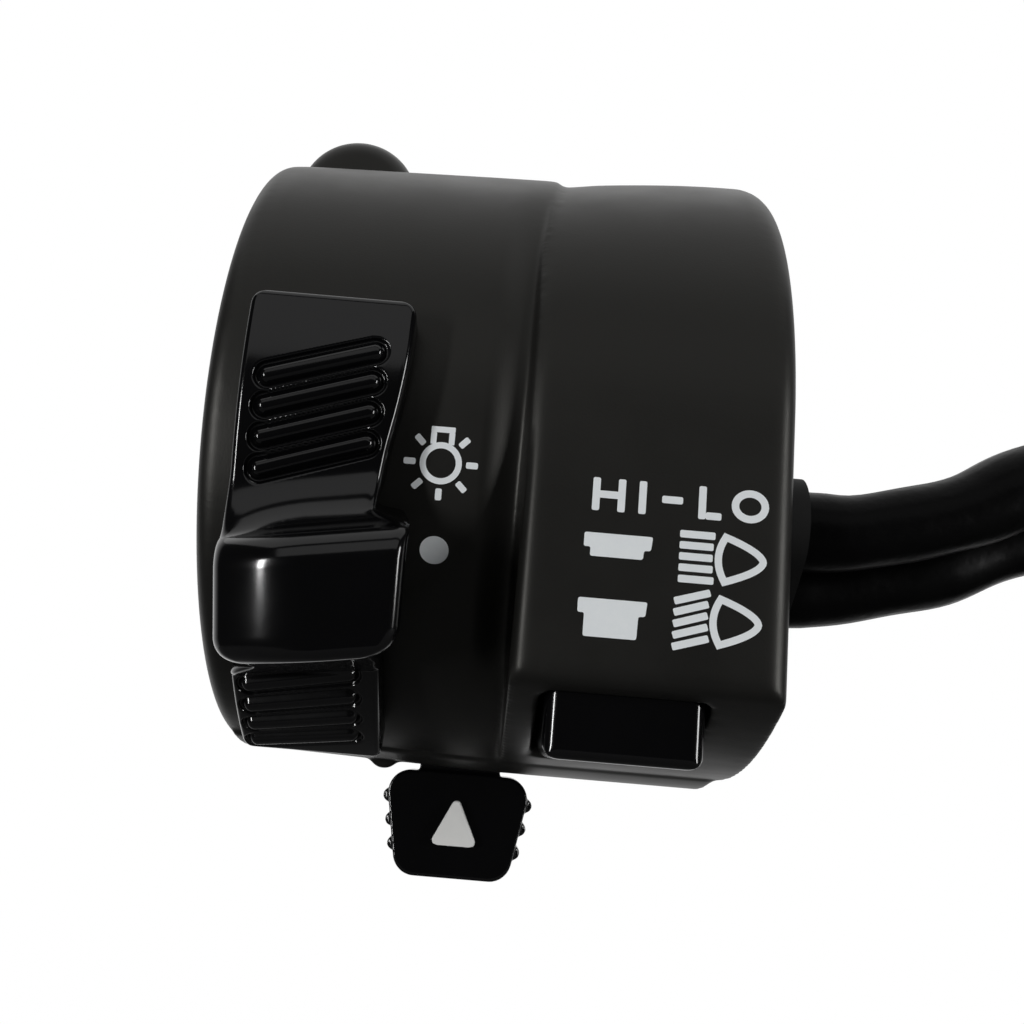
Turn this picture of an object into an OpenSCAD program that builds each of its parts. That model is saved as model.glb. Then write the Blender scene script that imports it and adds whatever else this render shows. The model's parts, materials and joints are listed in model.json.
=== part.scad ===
// Handlebar switch cluster: a two-part clamp housing with a headlamp arc slider,
// a turn-signal slider and a push-push beam button. X runs along the bar, -Y faces
// the rider and +Z is up. The origin is the bar's axis at mid length.

/* [Bar clamp] */
// Diameter of the handlebar
bar_d = 22.2; // [22.0:0.1:25.6]
// Gap left between the two shells for clamping
clamp_gap = 0.3; // [0.2:0.1:0.8]
// Nominal diameter of the clamp screws
screw_d = 5; // [4:0.5:5]

/* [Housing] */
// Length along the bar
body_len = 41; // [41:1:48]
// Outer radius of the round body
body_r = 26; // [26:0.5:28]
// Draft of the round body: how much smaller its outer end is
draft = 0.55; // [0:0.05:0.6]
// Shell wall thickness
wall = 2.4; // [2:0.1:2.6]
// End wall thickness
end_wall = 3; // [2.4:0.1:3.2]
// Rounding of the round body's end rims
rim_round = 1.6; // [0.8:0.1:2]
// Height of the bead along the lower parting edge
bead_h = 0.25; // [0.2:0.05:0.4]

/* [Lamp pod] */
// Length of the raised pod along the bar
pod_len = 18.3; // [17.9:0.1:18.5]
// How far the pod's face stands out past the round body
pod_stand = 0.3; // [0.2:0.1:0.6]
// Depth of the pod's lower front edge below the bar axis
pod_drop = 19.5; // [19:0.1:20]
// Radius of the pod's curved underside
chin_r = 44; // [42:0.5:46]
// Rounding of the pod's lower front edge
crest_round = 1.3; // [0.8:0.1:1.5]
// Rounding of the pod's outer end
pod_round = 1.8; // [1:0.1:2]
// Thickness of the pod's front wall
pod_wall = 1.6; // [1.4:0.1:1.8]

/* [Headlamp slider] */
// Distance of the slider's centre from the housing's outer end
light_inset = 8.9; // [8.7:0.1:9.1]
// Width of the slider's pads
light_w = 11.1; // [10.6:0.1:11.3]
// Height of the pads above the housing
light_pad_h = 2.4; // [2:0.1:2.8]
// Swing from off to on in degrees
light_swing = 13.5; // [10:0.5:14]
// Angle of the slider's middle at rest, above the horizontal
light_rest = -28; // [-29:0.5:-27]
// Slant of the thumb block
block_slant = 9; // [6:1:11]
// Slant of the thumb ribs
rib_slant = 13; // [10:1:14]

/* [Turn slider] */
// Distance of the turn slider's centre from the pod
turn_inset = 3.3; // [3:0.1:3.6]
// Travel to each side
turn_travel = 4; // [3:0.5:4]
// Width of the tab at its top
turn_w = 12.9; // [12:0.1:13.4]
// Width of the tab at its tip
turn_tip_w = 9.6; // [9:0.1:10.4]
// Length of the tab
turn_len = 8.8; // [8:0.1:9]
// Thickness of the tab
turn_t = 4.5; // [4:0.1:4.8]

/* [Beam button] */
// Distance of the button's left side from the housing's inner end
beam_inset = 15.8; // [15.6:0.1:15.8]
// Width of the button
beam_w = 10.8; // [10.2:0.1:11]
// Depth of the button from front to back
beam_depth = 12; // [11:0.1:12.2]
// Level of the button's underside
beam_bottom = -24.6; // [-25:0.1:-24.2]
// Travel of the button
beam_travel = 3; // [2.5:0.1:3]

/* [Loom] */
// Diameter of one sleeved cable
sleeve_d = 6; // [5:0.1:6]
// Mean diameter of the tied coil
coil_d = 66; // [62:1:70]
// Turns of the longer cable in the coil
coil_turns_a = 1.5; // [1.5:1:2.5]
// Turns of the shorter cable in the coil
coil_turns_b = 1.25; // [1.25:1:2.25]

/* [Clearances] */
// Gap round sliding pieces
slide_gap = 0.3; // [0.25:0.05:0.4]
// Gap of pressed and seated pieces
seat_gap = 0.05; // [0.02:0.01:0.1]
// Radial gap of pins that turn
pin_gap = 0.05; // [0.03:0.01:0.1]

/* [Hidden] */
$fn = 64;

half_len = body_len / 2;
bar_r = bar_d / 2;
inner_r = body_r - wall;
inner_x = half_len - end_wall;
far = 4 * body_r;
eps = 0.01;
light_x = light_inset - half_len;
pod_x = half_len - pod_len;
turn_x = pod_x - turn_inset;
beam_x = half_len - beam_inset;

// Pod: flat face, curved underside and the well for the beam button
pod_face = -(body_r + pod_stand);
chin_y = -4.5;
chin_z = sqrt(chin_r * chin_r - (pod_face - chin_y) * (pod_face - chin_y)) - pod_drop;
pod_inner = pod_face + pod_wall;
pod_mid = [-0.45, -0.6];
pod_r = pod_mid[0] - pod_face;
draft_end = pod_x - 1;
shoulder_round = 0.6;
well_gap = slide_gap;
well_x0 = beam_x - well_gap;
well_x1 = beam_x + beam_w + well_gap;
beam_front = pod_inner + slide_gap;
beam_back = beam_front + beam_depth;
well_back = beam_back + slide_gap;
rib_t = 1.4;
ledge_z = -18;
flange_t = 1.6;
flange_out = 0.9;
beam_top = ledge_z + 0.2 + flange_t;
beam_mid = beam_x + beam_w / 2;

// Beam stem, return spring, latch and contact board
stem_w = 4.2;
stem_back = -16.2;
stem_front = -20;
stem_top = -7.4;
shelf_z = stem_top + beam_travel + 1.4;
shelf_t = 2;
spring_r = 1.1;
spring_wire = 0.24;
spring_y = (stem_front + stem_back) / 2;
spring_seat = -11.2;
board_t = 1.2;
leaf_t = 0.4;
leaf_foot = 1.6;
post_r = 1.9;
pilot_r = 0.8;
board_screw_len = 4;
rivet_r = 0.8;
rivet_head_r = 1.2;
beam_board_front = -14.2;
beam_post_r = 1.7;
beam_post_z = -4.6;
beam_post_dx = 4.2;
beam_pad_x = 1.6;
beam_pad_z = [-8, -11];
latch_r = 0.5;
latch_len = 7.4;
latch_y = -21.2;
latch_z = -5;
latch_reach = 0.6;
latch_swing = 2 * asin(latch_reach / latch_len);

// Headlamp slider
light_base_r = body_r + 0.2;
light_pad_r = body_r + light_pad_h;
light_half = 37.5;
light_carrier_t = 5.8;
light_carrier_r1 = inner_r - slide_gap;
light_carrier_r0 = light_carrier_r1 - light_carrier_t;
light_carrier_half = 14;
light_carrier_w = 10.4;
light_stem_w = 4;
light_stem_t = 4.6;
light_stem_r = light_carrier_r0 + 2.5;
light_stem_half = asin(light_stem_t / 2 / light_stem_r);
light_slot_play = 1.2;
light_mid = light_rest + light_swing / 2;
light_plate_r = light_carrier_r0 - board_t - 3.1;
light_post_x = light_x + light_carrier_w / 2 + slide_gap + post_r + 1;
light_post_dt = [-4, 6.5];
light_pad_x = 2.6;
light_pad_t = [-4.2, -0.6];
slot_r = 0.95;
slot_depth = 0.6;
thumb_rib_r = 0.6;
block_w = light_w + 0.5;
block_x = light_x + 1;
block_low = 5.9 - body_r;
block_face = -body_r - 4;
block_lean = 10.8;
block_round = 1.7;
block_cheek = 3.4;
scoop_r = 6;
scoop_mid = [-body_r - 7.2, -7];
ball_r = 1;
ball_wire = 0.16;
light_ball_x = light_x - light_stem_w / 2 - ball_r - 0.5;

// Turn slider
turn_face = 1;
turn_top = -body_r - bead_h - 0.4;
turn_neck_w = 7;
turn_neck_y0 = clamp_gap + 0.8;
turn_neck_y1 = turn_neck_y0 + 3.2;
turn_carrier_z0 = 2.4 - inner_r;
turn_carrier_z1 = turn_carrier_z0 + 4.6;
turn_carrier_y0 = -8;
turn_carrier_w = 11;
turn_ball_y = turn_carrier_y0 + 1.7;
turn_board_z = turn_carrier_z1 + 2;
turn_track = turn_carrier_w / 2 + turn_travel + 1.5;
turn_post_y = -11.2;
turn_pad_y = [-4, -1.4];
turn_posts = [turn_x - 2 * turn_travel, turn_x + 2.2];

// Clamp screw places on the parting plane
boss_r = 5.3;
screw_places = [[light_x - 3.2, body_r - 2.8], [half_len - 6, 5.8 - body_r]];
insert_r = screw_d / 2 + 1;
insert_len = 6;
screw_head_r = screw_d * 0.84;
screw_head_h = screw_d * 0.65;
screw_seat_y = 10;
boss_front = -8;
bead_w = 6.5;

// Loom exits, routes and coil
grommet_lip = 0.7;
exit_a = [-18.4, -6.8];
exit_b = [-13.6, -10.6];
coil_r = coil_d / 2;
coil_x = 90;
coil_z = -26;
coil_start = 110;
tie_angle = 60;
coil_step = 2 * sleeve_d + 2.4;
join_x = coil_x + coil_r * cos(coil_start);
join_z = coil_z + coil_r * sin(coil_start);
join_dir = [sin(coil_start), 0, -cos(coil_start)];
join_a = [join_x, exit_a[0], join_z];
join_b = [join_x, exit_a[0] + coil_step / 2, join_z];
lead_a = [
  [half_len + 2, exit_a[0], exit_a[1]],
  [half_len + 3.5, exit_a[0], exit_a[1]],
  [half_len + 7, exit_a[0], -6.4],
  [35, -18.2, -4.2],
  [42, -18.2, -0.8],
  [52, -18.3, 0.6],
  join_a - 2 * sleeve_d * join_dir,
  join_a - sleeve_d * join_dir
];
lead_b = [
  [half_len + 2, exit_b[0], exit_b[1]],
  [half_len + 3.5, exit_b[0], exit_b[1]],
  [half_len + 7, -13.2, -9.8],
  [35, -12.8, -7.6],
  [42, -12.4, -4.6],
  [52, -11.8, -2],
  join_b - 2 * sleeve_d * join_dir,
  join_b - sleeve_d * join_dir
];
loop_rings = 24;
tube_sides = 6;
plug_len = 18;
plug_w = 5;
plug_h = 11;
plug_way = 1.5;

// A point at radius r and angle a above the horizontal on the rider's side
function polar(r, a) = [-r * cos(a), r * sin(a)];
function unit(v) = v / norm(v);

// Extrudes an outline drawn in Y and Z along X
module along_x(x0, x1) {
  translate([x0, 0, 0])
    rotate([90, 0, 90])
      linear_extrude(x1 - x0)
        children();
}

// Extrudes an outline drawn in X and Z along Y
module along_y(y0, y1) {
  translate([0, y1, 0])
    rotate([90, 0, 0])
      linear_extrude(y1 - y0)
        children();
}

// Turns a half profile of radius and X round the bar's axis
module round_x() {
  rotate([0, 90, 0])
    rotate_extrude($fn = 128)
      children();
}

// Local frame on the body: Z outward at angle a, Y along the arc, X along the bar
module at_angle(a) {
  rotate([90 - a, 0, 0])
    children();
}

// A convex outline with every corner rounded
module round_outline(points, r) {
  n = len(points);
  corners = [
    for (i = [0:n - 1])
      let(p = points[i], u = unit(points[(i + n - 1) % n] - p), v = unit(points[(i + 1) % n] - p))
        let(half = acos(u * v) / 2)
          [p + unit(u + v) * r / sin(half), p + u * r / tan(half), p + v * r / tan(half)]
  ];
  polygon([for (c = corners, k = [1, 2]) c[k]]);
  for (c = corners)
    translate(c[0])
      circle(r);
}

// The same outline with each corner rounded in a few straight steps
module stepped_outline(points, r, steps) {
  n = len(points);
  polygon([
    for (i = [0:n - 1])
      let(p = points[i], u = unit(points[(i + n - 1) % n] - p), v = unit(points[(i + 1) % n] - p))
        let(half = acos(u * v) / 2, mid = p + unit(u + v) * r / sin(half))
          let(a = p + u * r / tan(half) - mid, b = p + v * r / tan(half) - mid)
            for (k = [0:steps]) mid + r * unit(a * (steps - k) / steps + b * k / steps)
  ]);
}

module round_rect(x0, x1, y0, y1, r) {
  round_outline([[x0, y0], [x1, y0], [x1, y1], [x0, y1]], r);
}

// Part of a ring, from angle a0 to a1, drawn in Y and Z
module sector(r0, r1, a0, a1) {
  intersection() {
    difference() {
      circle(r1, $fn = 128);
      circle(r0, $fn = 128);
    }
    polygon([[0, 0], polar(2 * r1, a0), polar(2 * r1, (a0 + a1) / 2), polar(2 * r1, a1)]);
  }
}

// Half profile of a plug with both rims rounded
module plug_profile(r, x0, x1, f) {
  translate([0, x0 + f])
    square([r, x1 - x0 - 2 * f]);
  translate([0, x0])
    square([r - f, x1 - x0]);
  for (x = [x0 + f, x1 - f])
    translate([r - f, x])
      circle(f);
}

module box(x0, x1, y0, y1, z0, z1) {
  translate([x0, y0, z0])
    cube([x1 - x0, y1 - y0, z1 - z0]);
}

// A rod along Y between two levels
module rod_y(x, z, r, y0, y1) {
  translate([x, y1, z])
    rotate([90, 0, 0])
      cylinder(r = r, h = y1 - y0);
}

// A tube swept along points, with its rings square to the run
function frame_at(points, i) =
  let(n = len(points) - 1)
    unit(points[min(i + 1, n)] - points[max(i - 1, 0)]);
function ring_at(points, i, r, sides) =
  let(t = frame_at(points, i), u = unit(cross(t, [0, 1, 0.001])), w = cross(t, u))
    [for (k = [0:sides - 1]) points[i] + r * (cos(360 * k / sides) * u + sin(360 * k / sides) * w)];
module tube(points, r, sides) {
  n = len(points);
  rings = [for (i = [0:n - 1]) each ring_at(points, i, r, sides)];
  walls = [
    for (i = [0:n - 2], k = [0:sides - 1])
      let(a = i * sides + k, b = i * sides + (k + 1) % sides)
        each [[a, b, a + sides], [b, b + sides, a + sides]]
  ];
  start = [for (k = [1:sides - 2]) [0, k + 1, k]];
  end = [for (k = [1:sides - 2]) [(n - 1) * sides, (n - 1) * sides + k, (n - 1) * sides + k + 1]];
  polyhedron(concat(rings, [points[0], points[n - 1]]), concat(walls, start, end));
}

// A round compression spring that stands on z0
module coil_spring(r, wire, z0, z1, turns) {
  rings = 8 * turns;
  rise = (z1 - z0 - 2 * wire) / rings;
  points = [for (i = [0:rings]) [r * cos(45 * i), r * sin(45 * i), z0 + wire + rise * i]];
  spring_tube(points, wire);
}
module spring_tube(points, wire) {
  n = len(points);
  sides = 6;
  rings = [
    for (i = [0:n - 1])
      let(p = points[i], out = unit([p[0], p[1], 0]))
        each [for (k = [0:sides - 1]) p + wire * (cos(60 * k) * out + sin(60 * k) * [0, 0, 1])]
  ];
  walls = [
    for (i = [0:n - 2], k = [0:sides - 1])
      let(a = i * sides + k, b = i * sides + (k + 1) % sides)
        each [[a, a + sides, b], [b, a + sides, b + sides]]
  ];
  start = [for (k = [1:sides - 2]) [0, k, k + 1]];
  end = [for (k = [1:sides - 2]) [(n - 1) * sides, (n - 1) * sides + k + 1, (n - 1) * sides + k]];
  polyhedron(rings, concat(walls, start, end));
}

// Radius of the round body at a place along the bar
function body_r_at(x) = body_r - draft * max(0, draft_end - x) / (draft_end + half_len);

// Half profile of the round body from x0 to x1, with both rims rounded
module body_profile(x0, x1, f0, f1, grow) {
  r0 = body_r_at(x0) + grow;
  r1 = body_r_at(x1) + grow;
  polygon([
    [0, x0], [r0 - f0, x0], [r0, x0 + f0], [body_r + grow, draft_end],
    [r1, x1 - f1], [r1 - f1, x1], [0, x1]
  ]);
  translate([r0 - f0, x0 + f0])
    circle(f0);
  translate([r1 - f1, x1 - f1])
    circle(f1);
}

module round_body() {
  round_x()
    body_profile(-half_len, half_len, rim_round, rim_round, 0);
}

// Pod outline in Y and Z, with its lower front edge rounded
module pod_outline() {
  corner = [pod_face, -pod_drop];
  mid_y = pod_face + crest_round;
  mid_z = chin_z - sqrt(pow(chin_r - crest_round, 2) - pow(mid_y - chin_y, 2));
  mid = [mid_y, mid_z];
  touch = [chin_y, chin_z] + chin_r * unit(mid - [chin_y, chin_z]);
  difference() {
    intersection() {
      translate([pod_face, -body_r])
        square([-pod_face, body_r + pod_mid[1]]);
      translate([chin_y, chin_z])
        circle(chin_r, $fn = 160);
    }
    polygon([mid, [pod_face, mid_z], corner - [1, 1], touch]);
  }
  translate(mid)
    circle(crest_round);
}

module pod() {
  edge_r = pod_round / 2;
  intersection() {
    translate([0, pod_mid[0], pod_mid[1]])
      round_x() {
        plug_profile(pod_r, pod_x, half_len - rim_round, edge_r);
        plug_profile(pod_r, pod_x + edge_r, half_len, rim_round);
      }
    box(-far, far, -far, far, -body_r / 2, far);
  }
  intersection() {
    along_x(pod_x, half_len)
      pod_outline();
    translate([0, 0, -body_r])
      linear_extrude(body_r)
        union() {
          round_rect(pod_x, half_len - rim_round, pod_face, -pod_drop / 2, edge_r);
          round_rect(pod_x + edge_r, half_len, pod_face, -pod_drop / 2, rim_round);
          translate([pod_x, pod_face / 2])
            square([half_len - pod_x, -pod_face / 2]);
        }
    translate([0, chin_y, chin_z])
      round_x()
        plug_profile(chin_r, pod_x - pod_round, half_len, pod_round);
  }
}

module screw_boss(x, z, y0, y1, f) {
  translate([x, y1, z])
    rotate([90, 0, 0])
      rotate_extrude() {
        square([boss_r, y1 - y0 - f]);
        square([boss_r - f, y1 - y0]);
        translate([boss_r - f, y1 - y0 - f])
          circle(f);
      }
}

module front_half() {
  box(-far, far, -far, 0, -far, far);
}
module rear_half() {
  box(-far, far, clamp_gap, far, -far, far);
}

module inner_space() {
  difference() {
    round_x()
      translate([0, -inner_x])
        square([inner_r, 2 * inner_x]);
    box(pod_x, half_len, pod_face, well_back + rib_t, -body_r, ledge_z);
  }
}

module light_posts() {
  for (t = light_post_dt)
    at_angle(light_mid)
      translate([light_post_x, t, light_plate_r + board_t])
        cylinder(r = post_r, h = inner_r - light_plate_r - board_t + 0.4);
}

module beam_posts() {
  for (s = [-1, 1])
    rod_y(beam_mid + s * beam_post_dx, beam_post_z, beam_post_r, pod_inner - 0.4, beam_board_front);
}

module turn_posts_up() {
  for (x = turn_posts)
    translate([x, turn_post_y, -sqrt(inner_r * inner_r - turn_post_y * turn_post_y) - 1])
      cylinder(r = post_r, h = turn_board_z + sqrt(inner_r * inner_r - turn_post_y * turn_post_y) + 1);
}

module light_slot() {
  a0 = light_rest - light_stem_half - light_slot_play;
  a1 = light_rest + light_swing + light_stem_half + light_slot_play;
  half_w = light_stem_w / 2 + slide_gap;
  along_x(light_x - half_w, light_x + half_w)
    sector(inner_r - 2, body_r + 2, a0, a1);
}

module grommet_outline(grow) {
  d = unit(exit_b - exit_a);
  n = [-d[1], d[0]];
  r = sleeve_d / 2 + 0.9 + grow;
  for (p = [exit_a, exit_b])
    translate(p)
      circle(r);
  polygon([exit_a + r * n, exit_b + r * n, exit_b - r * n, exit_a - r * n]);
}

module front_housing() {
  color("#1b1b1c")
    difference() {
      union() {
        difference() {
          intersection() {
            union() {
              round_x()
                body_profile(-half_len, pod_x + shoulder_round / 2, rim_round, shoulder_round, 0);
              intersection() {
                round_body();
                box(-far, far, -far, far, -far, pod_mid[1]);
              }
              pod();
            }
            front_half();
          }
          inner_space();
          box(well_x0, inner_x, pod_inner, -body_r / 3, ledge_z, -2);
        }
        screw_boss(screw_places[0][0], screw_places[0][1], boss_front, 0, 2.6);
        intersection() {
          rod_y(screw_places[1][0], screw_places[1][1], boss_r - 0.6, well_back + rib_t - 0.1, 0);
          round_x()
            translate([0, -inner_x - 1])
              square([body_r - 0.6, 2 * inner_x + 2]);
        }
        light_posts();
        beam_posts();
        turn_posts_up();
        // Shelf over the beam spring
        box(beam_mid - stem_w, beam_mid + stem_w, pod_inner - 0.4, stem_back, shelf_z, shelf_z + shelf_t);
        // Pivot boss of the latch pin
        rod_y(beam_mid, latch_z, latch_r + 1.1, pod_inner - 0.4, latch_y - latch_r - 0.5);
        // Sled ribs under the turn carrier
        for (y = [-6.8, -2])
          box(turn_x - turn_track, pod_x + 0.4, y, y + 1, -inner_r - 0.6, turn_carrier_z0 - slide_gap);
        // Front guide of the turn carrier
        box(turn_x - turn_track, pod_x + 0.4, turn_carrier_y0 - slide_gap - 1.2, turn_carrier_y0 - slide_gap,
          -sqrt(inner_r * inner_r - turn_carrier_y0 * turn_carrier_y0) - 1, turn_carrier_z1);
        // Locating lug beside the turn slider
        rod_y(turn_x - 6.5, -body_r + 0.6, 1.3, -1.6, 0);
        // Bead along the lower parting edge
        intersection() {
          round_x()
            body_profile(-half_len + 1, half_len - 1, bead_h / 2, bead_h / 2, bead_h);
          box(-far, far, -bead_w, 0, -far, -body_r / 2);
          difference() {
            box(-far, far, -far, far, -far, far);
            round_x()
              translate([0, -far])
                square([inner_r + 0.5, 2 * far]);
          }
        }
      }
      // Bar bore
      rotate([0, 90, 0])
        cylinder(d = bar_d, h = 2 * far, center = true, $fn = 128);
      // Well of the beam button
      translate([0, 0, -far])
        linear_extrude(far + ledge_z + eps)
          round_rect(well_x0, well_x1, pod_inner, well_back, 1);
      light_slot();
      // Detent grooves of the headlamp slider
      for (a = [light_rest, light_rest + light_swing])
        at_angle(a)
          translate([light_ball_x - ball_r - 0.2, 0, inner_r - ball_r + 0.35])
            rotate([0, 90, 0])
              cylinder(r = ball_r, h = 2 * ball_r + 0.3);
      // Insert pockets
      for (p = screw_places)
        rod_y(p[0], p[1], insert_r + seat_gap, -insert_len - 0.6, eps);
      // Board screw pilot holes
      for (t = light_post_dt)
        at_angle(light_mid)
          translate([light_post_x, t, light_plate_r + board_t - eps])
            cylinder(r = pilot_r + seat_gap, h = board_screw_len + 1);
      for (s = [-1, 1])
        rod_y(beam_mid + s * beam_post_dx, beam_post_z, pilot_r + seat_gap,
          beam_board_front - board_screw_len - 1, beam_board_front + eps);
      for (x = turn_posts)
        translate([x, turn_post_y, turn_board_z - board_screw_len - 1])
          cylinder(r = pilot_r + seat_gap, h = board_screw_len + 1 + eps);
      // Latch pin bearing
      rod_y(beam_mid, latch_z, latch_r + pin_gap, pod_inner + 0.2, latch_y);
      // Loom grommet hole
      along_x(inner_x - 1, half_len + 1)
        grommet_outline(0);
    }
}

module rear_housing() {
  color("#1b1b1c")
    difference() {
      union() {
        difference() {
          intersection() {
            round_body();
            rear_half();
          }
          round_x()
            translate([0, -inner_x])
              square([inner_r, 2 * inner_x]);
        }
        // Saddle on the bar, with two ribs to the shell
        intersection() {
          rear_half();
          union() {
            round_x()
              translate([0, -inner_x - 1])
                square([bar_r + 2.2, 2 * inner_x + 2]);
            for (x = [-6, 5])
              along_x(x, x + 1.6)
                translate([0, -bar_r])
                  square([inner_r - 0.2, 2 * bar_r]);
          }
        }
        screw_boss(screw_places[0][0], screw_places[0][1], clamp_gap, screw_seat_y + 5, 0.6);
        intersection() {
          rod_y(screw_places[1][0], screw_places[1][1], boss_r - 0.6, clamp_gap, far);
          round_x()
            plug_profile(body_r, -half_len + 0.2, half_len - 0.2, rim_round);
        }
      }
      rotate([0, 90, 0])
        cylinder(d = bar_d, h = 2 * far, center = true, $fn = 128);
      for (p = screw_places) {
        rod_y(p[0], p[1], screw_d / 2 + 0.2, -1, far);
        rod_y(p[0], p[1], screw_head_r + 0.2, screw_seat_y, far);
      }
      // Slot for the turn slider's neck
      neck_way = turn_neck_w / 2 + turn_travel + slide_gap;
      box(turn_x - neck_way, turn_x + neck_way, -1, turn_neck_y1 + slide_gap, -far, turn_carrier_z1);
    }
}

module clamp_screws() {
  color("#b9bcc0")
    for (p = screw_places)
      translate([p[0], 0, p[1]])
        rotate([-90, 0, 0])
          difference() {
            union() {
              translate([0, 0, -insert_len + 0.5])
                cylinder(d = screw_d - 0.1, h = screw_seat_y + insert_len - 0.5);
              translate([0, 0, screw_seat_y])
                cylinder(r = screw_head_r, h = screw_head_h);
            }
            for (a = [0, 90])
              rotate([0, 0, a])
                translate([-screw_head_r * 0.6, -0.45, screw_seat_y + screw_head_h - 1.6])
                  cube([screw_head_r * 1.2, 0.9, 3]);
          }
}

module clamp_inserts() {
  color("#c9a24a")
    for (p = screw_places)
      difference() {
        rod_y(p[0], p[1], insert_r, -insert_len, 0);
        rod_y(p[0], p[1], screw_d / 2, -insert_len - 1, 1);
      }
}

// Places one rod for each angle across a pad, slanted up towards the lamp pod
module thumb_rods(angles, lift) {
  for (a = angles)
    at_angle(a)
      translate([light_x, 0, light_pad_r + lift])
        rotate([0, 0, rib_slant])
          rotate([0, 90, 0])
            children();
}

module thumb_slots(angles, length) {
  thumb_rods(angles, slot_r - slot_depth) {
    cylinder(r = slot_r, h = length, center = true);
    for (s = [-1, 1])
      translate([0, 0, s * length / 2])
        sphere(slot_r);
  }
}

module thumb_ribs(angles, length) {
  thumb_rods(angles, -thumb_rib_r)
    cylinder(r = thumb_rib_r, h = length, center = true);
}

// Side view of the thumb block: a rounded crown between its face and the scoop above
module block_profile() {
  crown_r = 1.3;
  up = [-sin(block_lean), cos(block_lean)];
  out = [-cos(block_lean), -sin(block_lean)];
  foot = [block_face, block_low] + 0.3 * out;
  from_scoop = foot - crown_r * out - scoop_mid;
  along = from_scoop * up;
  rise = -along - sqrt(along * along - from_scoop * from_scoop + pow(scoop_r + crown_r, 2));
  crown = foot - crown_r * out + rise * up;
  difference() {
    polygon([
      foot - body_r * up, crown + crown_r * out, crown, scoop_mid,
      [-bar_r, scoop_mid[1]], [-bar_r, -2 * body_r]
    ]);
    translate(scoop_mid)
      circle(scoop_r);
  }
  translate(crown)
    circle(crown_r);
}

// Thumb block: an upright face with slanted top and bottom edges
module thumb_block() {
  skew = block_w / 2 * tan(block_slant);
  x0 = block_x - block_w / 2;
  x1 = block_x + block_w / 2;
  intersection() {
    at_angle(light_rest)
      translate([-far, -far, light_base_r + 0.2])
        cube(2 * far);
    along_y(-2 * body_r, -bar_r)
      stepped_outline([
        [x0, block_low - skew], [x1, block_low + skew], [x1, -bar_r / 4], [x0, -bar_r / 4]
      ], block_round, 6);
    translate([0, block_face, block_low])
      rotate([block_lean, 0, 0])
        translate([0, 0, -body_r])
          linear_extrude(2 * body_r)
            stepped_outline([
              [x0 - 0.12, 0], [x1 + body_r, 0], [x1 + body_r, body_r], [x0 - 0.12, body_r]
            ], block_cheek, 12);
    translate([0, block_face, block_low])
      rotate([block_lean, 0, 0])
        translate([0, 0, -body_r])
          linear_extrude(2 * body_r)
            stepped_outline([
              [x0 - body_r, -0.2], [x1 + 0.12, -0.2], [x1 + 0.12, body_r], [x0 - body_r, body_r]
            ], block_round, 6);
    translate([block_x, 0, block_low])
      rotate([0, -block_slant, 0])
        translate([0, 0, -block_low])
          along_x(-half_len, half_len)
            block_profile();
  }
}

upper_ribs = [for (i = [0:3]) light_rest + 14.9 + 4.2 * i];
lower_ribs = [for (i = [0:3]) light_rest - 19.4 - 4.3 * i];

module light_knob() {
  half_t = light_pad_r * sin(light_half);
  slot_len = light_w - 2.8;
  color("#0c0c0d") {
    difference() {
      union() {
        intersection() {
          along_x(light_x - light_w, light_x + light_w)
            sector(light_base_r, light_pad_r, light_rest - light_half - 12, light_rest + light_half + 12);
          at_angle(light_rest)
            linear_extrude(2 * body_r)
              round_rect(light_x - light_w / 2, light_x + light_w / 2, -half_t, half_t, 1.6);
        }
        thumb_block();
        at_angle(light_rest)
          translate([light_x - light_stem_w / 2, -light_stem_t / 2, light_stem_r])
            cube([light_stem_w, light_stem_t, light_base_r + 1 - light_stem_r]);
      }
      thumb_slots(upper_ribs, slot_len);
      thumb_slots(lower_ribs, slot_len);
      at_angle(light_rest)
        translate([light_x, 0, light_stem_r - eps])
          cylinder(r = pilot_r + seat_gap, h = board_screw_len);
    }
    thumb_ribs(upper_ribs, slot_len + 0.4);
    thumb_ribs(lower_ribs, slot_len + 0.4);
  }
}

module light_carrier() {
  color("#d8d4c6")
    difference() {
      along_x(light_x - light_carrier_w / 2, light_x + light_carrier_w / 2)
        sector(light_carrier_r0, light_carrier_r1,
          light_rest - light_carrier_half, light_rest + light_carrier_half);
      at_angle(light_rest) {
        translate([light_x, 0, light_stem_r + body_r / 2])
          cube([light_stem_w + 2 * seat_gap, light_stem_t + 2 * seat_gap, body_r], center = true);
        translate([light_x, 0, light_carrier_r0 / 2])
          cylinder(r = pilot_r + 2 * seat_gap, h = body_r);
      }
      at_angle(light_rest)
        translate([light_ball_x, 0, light_carrier_r0 + 1])
          cylinder(r = ball_r + pin_gap, h = body_r);
    }
}

module light_knob_screw() {
  color("#b9bcc0")
    at_angle(light_rest)
      translate([light_x, 0, light_carrier_r0 - 0.07]) {
        cylinder(r = pilot_r, h = light_stem_r - light_carrier_r0 + board_screw_len - 0.5);
        translate([0, 0, -0.9])
          cylinder(r = 1.5, h = 0.9);
      }
}

module light_detent_ball() {
  color("#c4c7ca")
    at_angle(light_rest)
      translate([light_ball_x, 0, light_carrier_r1 - ball_r])
        sphere(ball_r);
}

module light_detent_spring() {
  color("#c4c7ca")
    at_angle(light_rest)
      translate([light_ball_x, 0, light_carrier_r0 + 1])
        coil_spring(ball_r * 0.7, ball_wire, 0, light_carrier_t - 2 * ball_r - 1 - seat_gap, 3);
}

// Headlamp contact places: X from the slider's centre and distance along the board
light_pads = [for (x = [-light_pad_x, light_pad_x], t = light_pad_t) [x, t]];

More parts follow.
